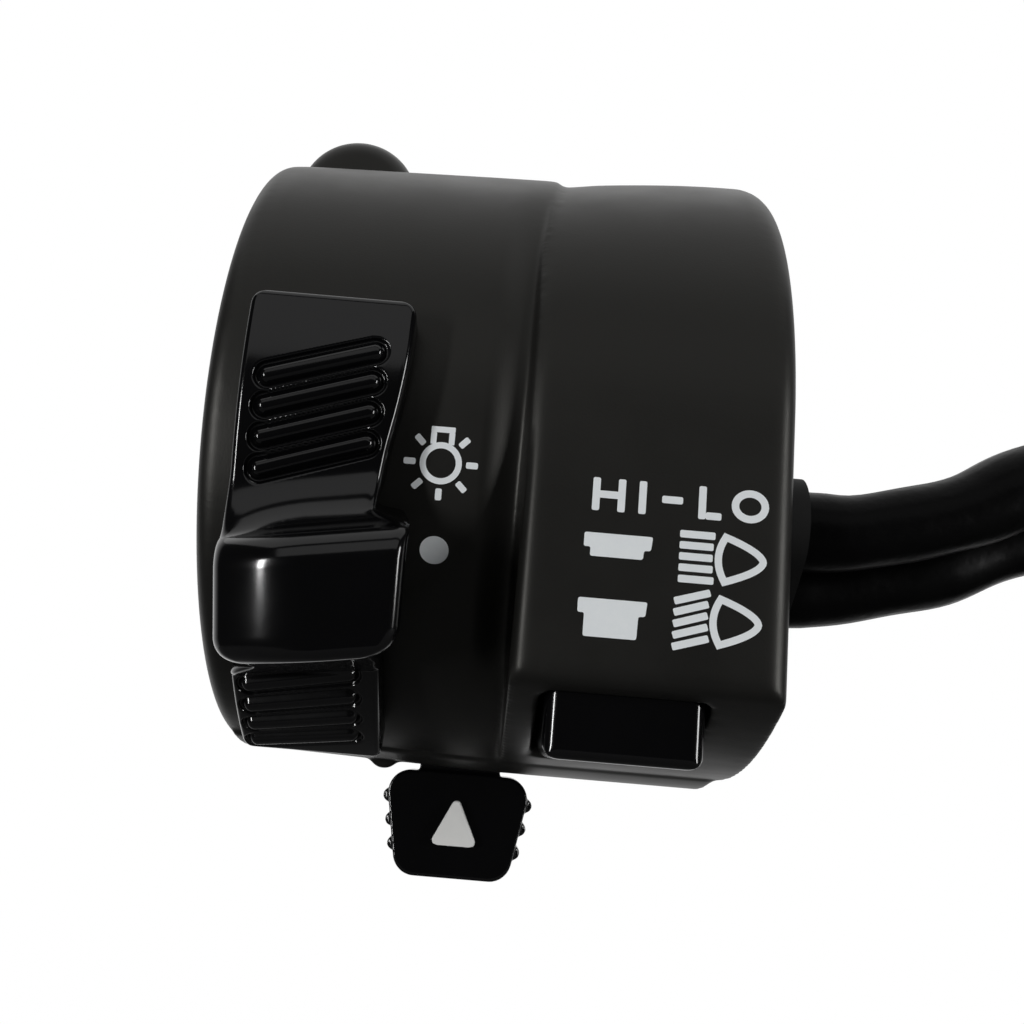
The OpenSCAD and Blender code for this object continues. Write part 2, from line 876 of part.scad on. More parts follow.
module light_board() {
  y0 = light_pad_t[0] - rivet_head_r - 0.9;
  y1 = light_post_dt[1] + post_r + 0.2;
  color("#8a5a2b")
    at_angle(light_mid)
      difference() {
        translate([light_x - light_carrier_w / 2, y0, light_plate_r])
          cube([light_post_x - light_x + light_carrier_w / 2 + post_r, y1 - y0, board_t]);
        for (p = light_pads)
          translate([light_x + p[0], p[1], 0])
            cylinder(r = rivet_r + seat_gap, h = body_r);
        for (t = light_post_dt)
          translate([light_post_x, t, 0])
            cylinder(r = pilot_r + 2 * seat_gap, h = body_r);
      }
}

// A contact rivet with its head on top of a board that stands on z = 0
module rivet() {
  translate([0, 0, -0.7])
    cylinder(r = rivet_r, h = board_t + 0.7);
  translate([0, 0, board_t])
    cylinder(r = rivet_head_r, h = 0.5);
}

module light_contacts() {
  color("#c9a24a")
    for (p = light_pads)
      at_angle(light_mid)
        translate([light_x + p[0], p[1], light_plate_r])
          rivet();
}

// A bent contact leaf: flat on its carrier, with two feet turned down to the contacts
module leaf(width, length, drop) {
  translate([-length / 2, -width / 2, -leaf_t])
    cube([length, width, leaf_t]);
  for (s = [-1, 1])
    translate([s * (length - leaf_foot) / 2, 0, -(drop + leaf_t) / 2])
      cube([leaf_foot, width, drop - leaf_t / 2], center = true);
}

module light_bridge() {
  color("#c9a24a")
    at_angle(light_rest - 9)
      translate([light_x, 0, light_carrier_r0 - 0.04])
        leaf(2, 2 * light_pad_x + leaf_foot, light_carrier_r0 - light_plate_r - board_t - 1.6);
}

module turn_tab_outline() {
  round_outline([
    [turn_x - turn_w / 2, turn_top], [turn_x - turn_tip_w / 2, turn_top - turn_len],
    [turn_x + turn_tip_w / 2, turn_top - turn_len], [turn_x + turn_w / 2, turn_top]
  ], 1.9);
}

module turn_knob() {
  lean = atan((turn_w - turn_tip_w) / 2 / turn_len);
  color("#0c0c0d") {
    along_y(turn_face, turn_face + turn_t)
      turn_tab_outline();
    // Grip ridges on both flanks
    for (s = [-1, 1], i = [0:2])
      translate([turn_x + s * (turn_w / 2 - 0.1 - (2.3 + 2 * i) * tan(lean)), 0, turn_top - 2.3 - 2 * i])
        rod_y(0, 0, 0.6, turn_face + 0.8, turn_face + turn_t - 0.8);
    box(turn_x - turn_neck_w / 2, turn_x + turn_neck_w / 2, turn_neck_y0, turn_neck_y1,
      turn_top - 1, turn_carrier_z0 + 1.6);
  }
}

module turn_marker() {
  mark_w = 4.2;
  mark_h = 4.3;
  mark_z = turn_top - 6.05;
  color("#f2f2ef")
    along_y(turn_face - 0.7, turn_face)
      round_outline([
        [turn_x - mark_w / 2, mark_z], [turn_x + mark_w / 2, mark_z], [turn_x, mark_z + mark_h]
      ], 0.4);
}

module turn_carrier() {
  color("#d8d4c6")
    difference() {
      box(turn_x - turn_carrier_w / 2, turn_x + turn_carrier_w / 2,
        turn_carrier_y0, turn_neck_y1 + 0.4, turn_carrier_z0, turn_carrier_z1);
      seat_w = turn_neck_w / 2 + seat_gap;
      box(turn_x - seat_w, turn_x + seat_w, turn_neck_y0 - seat_gap, turn_neck_y1 + seat_gap,
        turn_carrier_z0 - 1, turn_carrier_z0 + 1.6 + seat_gap);
      translate([turn_x, turn_ball_y, turn_carrier_z0 + 0.8])
        cylinder(r = ball_r + pin_gap, h = 10);
    }
}

module turn_detent_ball() {
  color("#c4c7ca")
    translate([turn_x, turn_ball_y, turn_board_z - slide_gap - ball_r])
      sphere(ball_r);
}

module turn_detent_spring() {
  z0 = turn_carrier_z0 + 0.8;
  color("#c4c7ca")
    translate([turn_x, turn_ball_y, z0])
      coil_spring(ball_r * 0.7, ball_wire, 0, turn_board_z - slide_gap - 2 * ball_r - z0 - 0.05, 4);
}

turn_pads = [-4, 0, 4];

module turn_board() {
  color("#8a5a2b")
    difference() {
      box(turn_posts[0] - post_r, turn_x + turn_pads[2] + rivet_head_r + 0.2, turn_post_y - post_r,
        turn_pad_y[1] + rivet_head_r + 0.3, turn_board_z, turn_board_z + board_t);
      for (x = turn_pads, y = turn_pad_y)
        translate([turn_x + x, y, turn_board_z - 1])
          cylinder(r = rivet_r + seat_gap, h = 4 * board_t);
      for (x = turn_posts)
        translate([x, turn_post_y, turn_board_z - 1])
          cylinder(r = pilot_r + 2 * seat_gap, h = 4 * board_t);
    }
}

module turn_contacts() {
  color("#c9a24a")
    for (x = turn_pads, y = turn_pad_y)
      translate([turn_x + x, y, turn_board_z + board_t])
        mirror([0, 0, 1])
          rivet();
}

module turn_bridge() {
  color("#c9a24a")
    translate([turn_x, (turn_pad_y[0] + turn_pad_y[1]) / 2, turn_carrier_z1])
      rotate([180, 0, 90])
        leaf(2, turn_pad_y[1] - turn_pad_y[0] + leaf_foot, 1);
}

module beam_button() {
  color("#0c0c0d")
    difference() {
      union() {
        intersection() {
          translate([0, 0, beam_bottom])
            linear_extrude(beam_top - beam_bottom)
              round_rect(beam_x, beam_x + beam_w, beam_front, beam_back, 1.1);
          // Rounded lower edges
          along_y(beam_front, beam_back)
            round_rect(beam_x, beam_x + beam_w, beam_bottom, beam_top + 4, 1.1);
          along_x(beam_x, beam_x + beam_w)
            round_rect(beam_front, beam_back, beam_bottom, beam_top + 4, 0.8);
        }
        // Stop flanges behind and beside the button
        box(beam_x + 1, beam_x + beam_w - 0.4, beam_back - 2, well_back + flange_out,
          beam_top - flange_t, beam_top);
        box(beam_x + beam_w - 2, well_x1 + flange_out, beam_front + 1, beam_front + 5,
          beam_top - flange_t, beam_top);
        box(beam_mid - stem_w / 2, beam_mid + stem_w / 2, stem_front, stem_back, beam_top - 1, stem_top);
      }
      translate([beam_mid, spring_y, spring_seat])
        cylinder(r = spring_r + slide_gap, h = 20);
      // Slanted latch track
      track_dx = 2 * latch_reach;
      track_a = atan(track_dx / beam_travel);
      track_z = latch_z - latch_len * cos(latch_swing / 2);
      track_len = norm([track_dx, beam_travel]);
      translate([beam_mid - latch_reach, stem_front, track_z])
        rotate([0, -track_a, 0]) {
          half = latch_r + slide_gap;
          box(-half, half, -1, 1.2, -track_len, 0);
          for (z = [0, -track_len])
            rod_y(0, z, half, -1, 1.2);
        }
    }
}

module beam_spring() {
  color("#c4c7ca")
    translate([beam_mid, spring_y, 0])
      coil_spring(spring_r - spring_wire, spring_wire, spring_seat, shelf_z, 7);
}

module beam_latch_pin() {
  color("#c4c7ca")
    translate([beam_mid, 0, latch_z])
      rotate([0, latch_swing / 2, 0]) {
        rod_y(0, 0, latch_r, pod_inner + 0.5, latch_y);
        translate([0, latch_y, -latch_len])
          cylinder(r = latch_r, h = latch_len);
        rod_y(0, -latch_len, latch_r, latch_y, stem_front + 0.9);
        for (z = [0, -latch_len])
          translate([0, latch_y, z])
            sphere(latch_r);
      }
}

beam_pads = [for (z = beam_pad_z, x = [-beam_pad_x, beam_pad_x]) [x, z]];

module beam_board() {
  half_w = beam_post_dx + beam_post_r - 0.3;
  color("#8a5a2b")
    difference() {
      box(beam_mid - half_w, beam_mid + half_w, beam_board_front, beam_board_front + board_t,
        beam_pad_z[1] - rivet_head_r - 0.3, beam_post_z + beam_post_r + 0.5);
      for (p = beam_pads)
        rod_y(beam_mid + p[0], p[1], rivet_r + seat_gap,
          beam_board_front - 1, beam_board_front + 4 * board_t);
      for (s = [-1, 1])
        rod_y(beam_mid + s * beam_post_dx, beam_post_z, pilot_r + 2 * seat_gap,
          beam_board_front - 1, beam_board_front + 4 * board_t);
    }
}

module beam_contacts() {
  color("#c9a24a")
    for (p = beam_pads)
      translate([beam_mid + p[0], beam_board_front + board_t, p[1]])
        rotate([90, 0, 0])
          rivet();
}

module beam_bridge() {
  color("#c9a24a")
    translate([beam_mid, stem_back, beam_pad_z[1]])
      rotate([90, 0, 0])
        mirror([0, 0, 1])
          translate([0, 0, leaf_t]) {
            translate([-beam_pad_x - leaf_foot / 2, -0.9, -leaf_t])
              cube([2 * beam_pad_x + leaf_foot, 1.8, leaf_t]);
            for (s = [-1, 1])
              translate([s * beam_pad_x, 0, 0])
                cylinder(r = 0.7, h = 0.8);
          }
}

module board_screw() {
  translate([0, 0, -board_screw_len])
    cylinder(r = pilot_r, h = board_screw_len);
  cylinder(r = 2 * pilot_r, h = 0.9);
}

module board_screws() {
  color("#b9bcc0") {
    for (t = light_post_dt)
      at_angle(light_mid)
        translate([light_post_x, t, light_plate_r])
          mirror([0, 0, 1])
            board_screw();
    for (s = [-1, 1])
      translate([beam_mid + s * beam_post_dx, beam_board_front + board_t, beam_post_z])
        rotate([-90, 0, 0])
          board_screw();
    for (x = turn_posts)
      translate([x, turn_post_y, turn_board_z + board_t])
        board_screw();
  }
}

module loom_grommet() {
  color("#161616")
    difference() {
      union() {
        along_x(inner_x - seat_gap - grommet_lip, half_len + 2)
          grommet_outline(-seat_gap);
        along_x(inner_x - seat_gap - grommet_lip, inner_x - seat_gap)
          grommet_outline(0.9);
      }
      for (p = [exit_a, exit_b])
        translate([inner_x - 3, p[0], p[1]])
          rotate([0, 90, 0])
            cylinder(d = sleeve_d - 1.6, h = end_wall + 8);
    }
}

module loom_lead_a() {
  color("#121212")
    tube(lead_a, sleeve_d / 2, 8);
}

module loom_lead_b() {
  color("#121212")
    tube(lead_b, sleeve_d / 2, 8);
}

// Points of a coil that winds clockwise and steps back along Y, with straight ends
function coil_points(join, turns) =
  let(
    n = ceil(loop_rings * turns),
    arc = [
      for (i = [0:n])
        let(a = coil_start - 360 * turns * i / n)
          [coil_x + coil_r * cos(a), join[1] + coil_step * turns * i / n, coil_z + coil_r * sin(a)]
    ],
    a_end = coil_start - 360 * turns,
    out = [sin(a_end), 0, -cos(a_end)]
  )
    concat([join - sleeve_d * join_dir], arc, [arc[n] + sleeve_d * out]);
coil_a = coil_points(join_a, coil_turns_a);
coil_b = coil_points(join_b, coil_turns_b);

// Least gap between points of a tube that are more than a quarter turn apart
function self_gap(points) =
  min([
    for (i = [0:len(points) - 1], j = [0:len(points) - 1])
      if (j - i > loop_rings / 4) norm(points[i] - points[j])
  ]) - sleeve_d;
function pair_gap(p, q) = min([for (a = p, b = q) norm(a - b)]) - sleeve_d;
echo(coil_a_gap = self_gap(coil_a), coil_b_gap = self_gap(coil_b), coils_gap = pair_gap(coil_a, coil_b));

module loom_coil_a() {
  color("#121212")
    tube(coil_a, sleeve_d / 2, tube_sides);
}

module loom_coil_b() {
  color("#121212")
    tube(coil_b, sleeve_d / 2, tube_sides);
}

module loom_tie() {
  strap_t = 1.2;
  strap_w = 4;
  passed = (coil_start - tie_angle) / 360;
  y0 = exit_a[0] + coil_step * passed;
  y1 = y0 + coil_step * max(floor(coil_turns_a - passed), floor(coil_turns_b - passed) + 0.5);
  r = sleeve_d / 2 + 0.25;
  color("#0e0e0e")
    translate([coil_x, 0, coil_z])
      rotate([0, -tie_angle, 0])
        translate([coil_r, 0, -strap_w / 2])
          linear_extrude(strap_w)
            difference() {
              round_rect(-r - strap_t, r + strap_t, y0 - r - strap_t, y1 + r + strap_t, r + strap_t - eps);
              round_rect(-r, r, y0 - r, y1 + r, r - eps);
            }
}

// A plain multi-way connector on the end of a cable
module loom_plug(points) {
  n = len(points) - 1;
  dir = unit(points[n] - points[n - 1]);
  translate(points[n])
    rotate([0, atan2(dir[0], dir[2]), 0])
      difference() {
        union() {
          linear_extrude(plug_len)
            round_rect(-plug_h / 2, plug_h / 2, -plug_w / 2, plug_w / 2, 1);
          translate([0, 0, plug_len * 0.35])
            linear_extrude(2)
              round_rect(-plug_h / 2 - 0.6, plug_h / 2 + 0.6, -plug_w / 2 + 0.2, plug_w / 2 - 0.2, 1);
        }
        for (x = [-1, 0, 1], y = [-1, 1])
          translate([x * plug_h * 0.27, y * plug_w * 0.22, plug_len])
            cube([plug_way, plug_way, plug_len * 0.7], center = true);
      }
}

module loom_connector_a() {
  color("#e6e4dc")
    loom_plug(coil_a);
}

module loom_connector_b() {
  color("#e6e4dc")
    loom_plug(coil_b);
}

front_housing();
rear_housing();
clamp_screws();
clamp_inserts();
light_knob();
light_carrier();
light_knob_screw();
light_board();
light_contacts();
light_bridge();
light_detent_ball();
light_detent_spring();
turn_knob();
turn_marker();
turn_carrier();
turn_board();
turn_contacts();
turn_bridge();
turn_detent_ball();
turn_detent_spring();
beam_button();
beam_spring();
beam_latch_pin();
beam_board();
beam_contacts();
beam_bridge();
board_screws();
loom_grommet();
loom_lead_a();
loom_lead_b();
loom_coil_a();
loom_coil_b();
loom_tie();
loom_connector_a();
loom_connector_b();
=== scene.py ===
"""Dresses the handlebar switch cluster: loom, materials, moulded shells, thumb slider, printed signs and studio.

Lengths are named in millimetres and turned into metres by mm(); those of the studio are in metres. The frame is
the part's own: X along the bar, -Y towards the rider, +Z up, with the bar's axis through the origin.
"""
import json
import math

import bmesh
import bpy
from mathutils import Matrix, Vector


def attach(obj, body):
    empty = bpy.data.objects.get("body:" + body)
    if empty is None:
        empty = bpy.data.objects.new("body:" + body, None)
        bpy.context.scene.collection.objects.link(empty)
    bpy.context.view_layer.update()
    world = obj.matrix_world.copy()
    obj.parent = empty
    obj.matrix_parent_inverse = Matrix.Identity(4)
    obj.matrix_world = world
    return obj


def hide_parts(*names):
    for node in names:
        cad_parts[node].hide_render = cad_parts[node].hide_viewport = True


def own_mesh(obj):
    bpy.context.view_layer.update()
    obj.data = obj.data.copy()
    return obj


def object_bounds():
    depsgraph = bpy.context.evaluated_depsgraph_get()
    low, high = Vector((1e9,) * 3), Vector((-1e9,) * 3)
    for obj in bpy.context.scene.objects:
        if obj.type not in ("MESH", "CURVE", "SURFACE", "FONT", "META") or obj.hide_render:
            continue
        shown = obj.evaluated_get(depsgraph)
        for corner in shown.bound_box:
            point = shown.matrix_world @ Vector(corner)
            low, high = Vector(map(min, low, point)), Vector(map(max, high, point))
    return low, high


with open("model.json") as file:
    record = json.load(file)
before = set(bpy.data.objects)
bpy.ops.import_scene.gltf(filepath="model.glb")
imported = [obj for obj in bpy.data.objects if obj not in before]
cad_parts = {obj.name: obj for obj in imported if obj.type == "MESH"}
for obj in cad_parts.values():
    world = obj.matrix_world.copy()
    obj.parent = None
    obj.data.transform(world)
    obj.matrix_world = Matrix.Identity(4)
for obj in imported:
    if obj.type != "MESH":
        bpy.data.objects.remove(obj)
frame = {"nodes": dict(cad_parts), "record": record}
cad_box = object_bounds()
nodes = frame["nodes"]
scene = bpy.context.scene
scene.view_settings.view_transform = "Standard"
MM_PER_M = 1000


def mm(*values):
    """Millimetres to metres, one number or a vector."""
    scaled = [v * 0.001 for v in values]
    return scaled[0] if len(scaled) == 1 else Vector(scaled)


def ease(value, start, end):
    """Rises smoothly from 0 to 1 as the value goes from start to end."""
    t = min(1, max(0, (value - start) / (end - start)))
    return t * t * (3 - 2 * t)


def between(value, start, full, fade, end):
    """Rises smoothly from 0 to 1 between start and full, and falls back between fade and end."""
    return ease(value, start, full) * (1 - ease(value, fade, end))


def add_object(name, data):
    made = bpy.data.objects.new(name, data)
    scene.collection.objects.link(made)
    return made


def add_mesh(name, shape, smooth=False):
    """A new object from a bmesh, which is freed."""
    mesh = bpy.data.meshes.new(name)
    shape.to_mesh(mesh)
    shape.free()
    for face in mesh.polygons:
        face.use_smooth = smooth
    return add_object(name, mesh)


# Camera: below the bar, looking slightly up, as the photograph was taken
CAMERA_PLACE = mm(1.5, -98.32, -24.17)
CAMERA_PITCH = math.radians(12)
CAMERA_ROLL = math.radians(4.9)
IMAGE_PX = 1024
FOCAL_PX = 1110
SENSOR_MM = 36
CLIP = 0.005, 20


def make_camera():
    data = bpy.data.cameras.new("camera")
    data.sensor_width = SENSOR_MM
    data.lens = SENSOR_MM * FOCAL_PX / IMAGE_PX
    data.clip_start, data.clip_end = CLIP
    camera = add_object("camera", data)
    side = Vector((1, 0, 0))
    ahead = Vector((0, math.cos(CAMERA_PITCH), math.sin(CAMERA_PITCH)))
    above = side.cross(ahead)
    right = math.cos(CAMERA_ROLL) * side + math.sin(CAMERA_ROLL) * above
    up = -math.sin(CAMERA_ROLL) * side + math.cos(CAMERA_ROLL) * above
    turn = Matrix((right, up, -ahead)).transposed().to_4x4()
    camera.matrix_world = Matrix.Translation(CAMERA_PLACE) @ turn
    scene.camera = camera


make_camera()


# Loom: two sleeved cables that leave the end wall, rise a little and are put away in one tied coil
SLEEVE_D = 6
EXITS = {"a": (20.5, -18.4, -6.8), "b": (20.5, -13.6, -10.6)}
COIL_R = 33
COIL_X, COIL_Z = 90, -26
COIL_START = math.radians(110)
COIL_STEP = 14.4
COIL_TURNS = {"a": 1.5, "b": 1.25}
COIL_RINGS = 48
JOIN_Y = {"a": -18.4, "b": -11.2}
LEADS = {
    "a": [
        (18.5, -18.4, -6.8), (22.5, -18.4, -6.8), (24, -18.4, -6.8), (27.5, -18.4, -6.4),
        (35, -18.2, -4.2), (42, -18.2, -0.8), (52, -18.3, 0.6),
    ],
    "b": [
        (18.5, -13.6, -10.6), (22.5, -13.6, -10.6), (24, -13.6, -10.6), (27.5, -13.2, -9.8),
        (35, -12.8, -7.6), (42, -12.4, -4.6), (52, -11.8, -2),
    ],
}
PATH_STEP = 0.7
SLEEVE_SIDES = 20
SLEEVE_FILL = 0.95
# Lumps: height as a share of the radius and length of each wave, each cable's phases, and the run to full height
LUMPS = ((0.03, 2.6), (0.022, 1.25))
LUMP_PHASES = {"a": (-0.16, 4.25), "b": (1.9, 0.7)}
LUMPS_FULL = 6
# A hair off the Y axis, so that no stretch of cable runs along it
RING_AXIS = Vector((0, 1, 0.001))


def coil_points(cable):
    """The coil's own points, with short straight runs at both ends, as in the part's source."""
    turns = COIL_TURNS[cable]
    count = math.ceil(COIL_RINGS * turns)
    points = []
    for i in range(count + 1):
        angle = COIL_START - 2 * math.pi * turns * i / count
        points.append(Vector((
            COIL_X + COIL_R * math.cos(angle),
            JOIN_Y[cable] + COIL_STEP * turns * i / count,
            COIL_Z + COIL_R * math.sin(angle),
        )))
    into = Vector((math.sin(COIL_START), 0, -math.cos(COIL_START)))
    end = COIL_START - 2 * math.pi * turns
    out = Vector((math.sin(end), 0, -math.cos(end)))
    lead_in = [points[0] - 2 * SLEEVE_D * into, points[0] - SLEEVE_D * into]
    return lead_in + points + [points[-1] + SLEEVE_D * out]


def smooth_path(points, step):
    """Points along a smooth (Catmull-Rom) curve through the given ones, about one step apart."""
    padded = [2 * points[0] - points[1]] + points + [2 * points[-1] - points[-2]]
    path = []
    for p0, p1, p2, p3 in zip(padded, padded[1:], padded[2:], padded[3:]):
        count = max(1, round((p2 - p1).length / step))
        for i in range(count):
            t = i / count
            path.append(0.5 * (
                2 * p1 + (p2 - p0) * t + (2 * p0 - 5 * p1 + 4 * p2 - p3) * t * t
                + (3 * p1 - p0 - 3 * p2 + p3) * t * t * t
            ))
    return path + [points[-1]]


def ring_at(path, i, radius):
    """A ring of corners square to the path; its first corner keeps to the rider's side."""
    along = (path[min(i + 1, len(path) - 1)] - path[max(i - 1, 0)]).normalized()
    side = along.cross(RING_AXIS).normalized()
    front = along.cross(side)
    turns = [2 * math.pi * k / SLEEVE_SIDES for k in range(SLEEVE_SIDES)]
    return [path[i] + radius * (math.cos(a) * side + math.sin(a) * front) for a in turns]


def make_cable(cable):
    """A tube along the cable's route; the wires inside press soft lumps into the sleeve."""
    path = smooth_path([Vector(p) for p in LEADS[cable]] + coil_points(cable), PATH_STEP)
    shape = bmesh.new()
    rings = []
    run = 0.0
    for i, p in enumerate(path):
        run += (p - path[i - 1]).length if i else 0
        lump = sum(
            height * math.sin(run / length + phase)
            for (height, length), phase in zip(LUMPS, LUMP_PHASES[cable]))
        radius = SLEEVE_D / 2 * (SLEEVE_FILL + lump * min(1, run / LUMPS_FULL))
        rings.append([shape.verts.new(mm(*corner)) for corner in ring_at(path, i, radius)])
    for ring, following in zip(rings, rings[1:]):
        for k in range(SLEEVE_SIDES):
            after = (k + 1) % SLEEVE_SIDES
            shape.faces.new((ring[k], ring[after], following[after], following[k]))
    shape.faces.new(reversed(rings[0]))
    shape.faces.new(rings[-1])
    bmesh.ops.recalc_face_normals(shape, faces=list(shape.faces))
    return add_mesh(f"loom_cable_{cable}", shape, smooth=True), [mm(*p) for p in path]


cables = {}
for cable, exit_point in EXITS.items():
    piece, path = make_cable(cable)
    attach(piece, "housing")
    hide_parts(f"loom_lead_{cable}", f"loom_coil_{cable}")
    cables[cable] = piece


# Materials
NOISE_ROUGH = 0.55


def new_material(name):
    material = bpy.data.materials.new(name)
    material.use_nodes = True
    tree = material.node_tree
    shader = next(n for n in tree.nodes if n.type == "BSDF_PRINCIPLED")
    return material, tree, shader


def noise(tree, scale, detail=3.0):
    """Noise in the piece's own coordinates; scale is the size of its grains."""
    place = tree.nodes.new("ShaderNodeTexCoord")
    texture = tree.nodes.new("ShaderNodeTexNoise")
    texture.inputs["Scale"].default_value = MM_PER_M / scale
    texture.inputs["Detail"].default_value = detail
    texture.inputs["Roughness"].default_value = NOISE_ROUGH
    tree.links.new(place.outputs["Object"], texture.inputs["Vector"])
    return texture.outputs["Fac"]


def spread(tree, value, low, high, start=0.3, end=0.7):
    """Maps a texture's value to a range."""
    node = tree.nodes.new("ShaderNodeMapRange")
    node.inputs["From Min"].default_value = start
    node.inputs["From Max"].default_value = end
    node.inputs["To Min"].default_value = low
    node.inputs["To Max"].default_value = high
    tree.links.new(value, node.inputs["Value"])
    return node.outputs["Result"]


def two_tone(tree, value, dark, pale):
    """A colour between two tones, by a texture's value."""
    node = tree.nodes.new("ShaderNodeMix")
    node.data_type = "RGBA"
    node.inputs["A"].default_value = (*dark, 1)
    node.inputs["B"].default_value = (*pale, 1)
    tree.links.new(value, node.inputs["Factor"])
    return node.outputs["Result"]


def bump(tree, shader, height, depth):
    """Relief of a given depth from a texture."""
    node = tree.nodes.new("ShaderNodeBump")
    node.inputs["Strength"].default_value = 1.0
    node.inputs["Distance"].default_value = mm(depth)
    tree.links.new(height, node.inputs["Height"])
    tree.links.new(node.outputs["Normal"], shader.inputs["Normal"])


def surface(name, tones, rough, grain, depth, patch=6.0, metallic=0.0, specular=0.5, tint=(1, 1, 1)):
    """A procedural material: two tones in soft patches, roughness that varies, and a fine relief.

    tones are the two colours, rough the range of roughness, patch the patches' size, grain the relief's size and
    depth its height.
    """
    material, tree, shader = new_material(name)
    shader.inputs["Metallic"].default_value = metallic
    shader.inputs["Specular IOR Level"].default_value = specular
    shader.inputs["Specular Tint"].default_value = (*tint, 1)
    patches = noise(tree, patch)
    fine = noise(tree, grain, detail=2.0)
    tree.links.new(two_tone(tree, patches, *tones), shader.inputs["Base Color"])
    tree.links.new(spread(tree, patches, *rough), shader.inputs["Roughness"])
    bump(tree, shader, fine, depth)
    return material


MATERIALS = {
    "housing_plastic": surface(
        "housing_plastic", ((0.0052, 0.0051, 0.0047), (0.0072, 0.0070, 0.0064)), (0.40, 0.46), 0.16, 0.006,
        specular=0.38, tint=(1.0, 0.985, 0.93)),
    "knob_plastic": surface(
        "knob_plastic", ((0.0012, 0.0012, 0.0015), (0.0020, 0.0020, 0.0024)), (0.11, 0.15), 0.8, 0.002),
    "marker_white": surface(
        "marker_white", ((0.80, 0.80, 0.78), (0.88, 0.88, 0.86)), (0.32, 0.42), 0.25, 0.004, patch=1.2),
    "print_ink": surface(
        "print_ink", ((0.80, 0.84, 0.86), (0.86, 0.89, 0.90)), (0.55, 0.65), 0.12, 0.004, patch=0.5,
        specular=0.3),
    "carrier_plastic": surface(
        "carrier_plastic", ((0.66, 0.63, 0.54), (0.72, 0.69, 0.60)), (0.38, 0.46), 0.3, 0.004),
    "board_laminate": surface(
        "board_laminate", ((0.20, 0.09, 0.035), (0.29, 0.14, 0.05)), (0.42, 0.55), 0.4, 0.006, patch=1.5),
    "contact_brass": surface(
        "contact_brass", ((0.66, 0.46, 0.18), (0.76, 0.55, 0.24)), (0.22, 0.34), 0.2, 0.002, patch=2,
        metallic=1.0),
    "screw_steel": surface(
        "screw_steel", ((0.50, 0.51, 0.52), (0.64, 0.64, 0.63)), (0.24, 0.36), 0.15, 0.002, patch=1.5,
        metallic=1.0),
    "spring_steel": surface(
        "spring_steel", ((0.58, 0.59, 0.60), (0.68, 0.69, 0.70)), (0.2, 0.3), 0.1, 0.001, patch=1,
        metallic=1.0),
    "grommet_rubber": surface(
        "grommet_rubber", ((0.006, 0.006, 0.006), (0.011, 0.011, 0.011)), (0.6, 0.72), 0.2, 0.01,
        specular=0.25),
    "loom_sleeve": surface(
        "loom_sleeve", ((0.0012, 0.0012, 0.0013), (0.0022, 0.0022, 0.0023)), (0.30, 0.42), 1.2, 0.05, patch=5,
        specular=0.08),
    "tie_nylon": surface(
        "tie_nylon", ((0.006, 0.006, 0.006), (0.010, 0.010, 0.010)), (0.35, 0.45), 0.3, 0.004),
    "connector_nylon": surface(
        "connector_nylon", ((0.68, 0.66, 0.59), (0.75, 0.73, 0.67)), (0.40, 0.5), 0.3, 0.004),
}


def dress(piece, slot):
    piece.data.materials.clear()
    piece.data.materials.append(MATERIALS[slot])


for part in frame["record"]["subparts"]:
    dress(nodes[part["node"]], part["material_slot"])
for piece in cables.values():
    dress(piece, "loom_sleeve")


# Moulded pieces: the CAD shapes with the soft edges that the mould leaves
SMOOTH_FACTOR = 0.5


def moulded(node, name, body, slot, voxel, passes):
    """A copy of a node's mesh, remeshed on a fine grid and smoothed so that its edges turn round."""
    copy = add_object(name, nodes[node].data.copy())
    remesh = copy.modifiers.new("remesh", "REMESH")
    remesh.mode = "VOXEL"
    remesh.voxel_size = mm(voxel)
    smooth = copy.modifiers.new("smooth", "SMOOTH")
    smooth.factor = SMOOTH_FACTOR
    smooth.iterations = passes
    bpy.context.view_layer.update()
    made = bpy.data.meshes.new_from_object(copy.evaluated_get(bpy.context.evaluated_depsgraph_get()))
    copy.modifiers.clear()
    copy.data = made
    made.name = name
    for face in made.polygons:
        face.use_smooth = True
    dress(copy, slot)
    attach(copy, body)
    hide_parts(node)
    return copy


# Shells: round skins, a pod roof that rises a little towards the bike's middle, and a soft groove beside the pod.
# The angles here are in degrees, from the rider's side upwards.
BODY_R, HALF_LENGTH, RIM_ROUND = 26, 20.5, 1.5
DRAFT, DRAFT_FROM, DRAFT_LENGTH = 0.55, 1.2, 21.7
POD_X, POD_LENGTH = 2.2, 18.3
POD_MID, POD_R, POD_SKIN = (-0.45, -0.6), 25.85, 20
# A point this near its true round is moved onto it, less so outside it and near rims, the pod's edge and its flat
FACET_GAP, OUTSIDE_WEIGHT = (0.08, 0.2), 3
RIM_FADE, EDGE_FADE, FLAT_FADE = 1.5, (0.5, 1.5), 3
ROOF_RISE, ROOF_PACE = 1.4, 1.15
ROOF_FALL, ROOF_FALL_FROM = 0.6, 0.86
GROOVE_DEPTH, GROOVE_SKIN = 0.75, 24.4
GROOVE_X, GROOVE_ANGLES = (-0.9, 1.5, 1.7, 2.4), (-52, -40, 15, 54)
LEAN, LEAN_ANGLES, LEAN_FADE = 0.9, (24, 60), (0.3, 5)
SOFT_FROM, SOFT_TO, SOFT_PASSES = 0.1, 2.2, 16


def body_r_at(x):
    """Radius of the round body, which gets smaller towards its outer end."""
    return BODY_R - DRAFT * max(0, DRAFT_FROM - x) / DRAFT_LENGTH


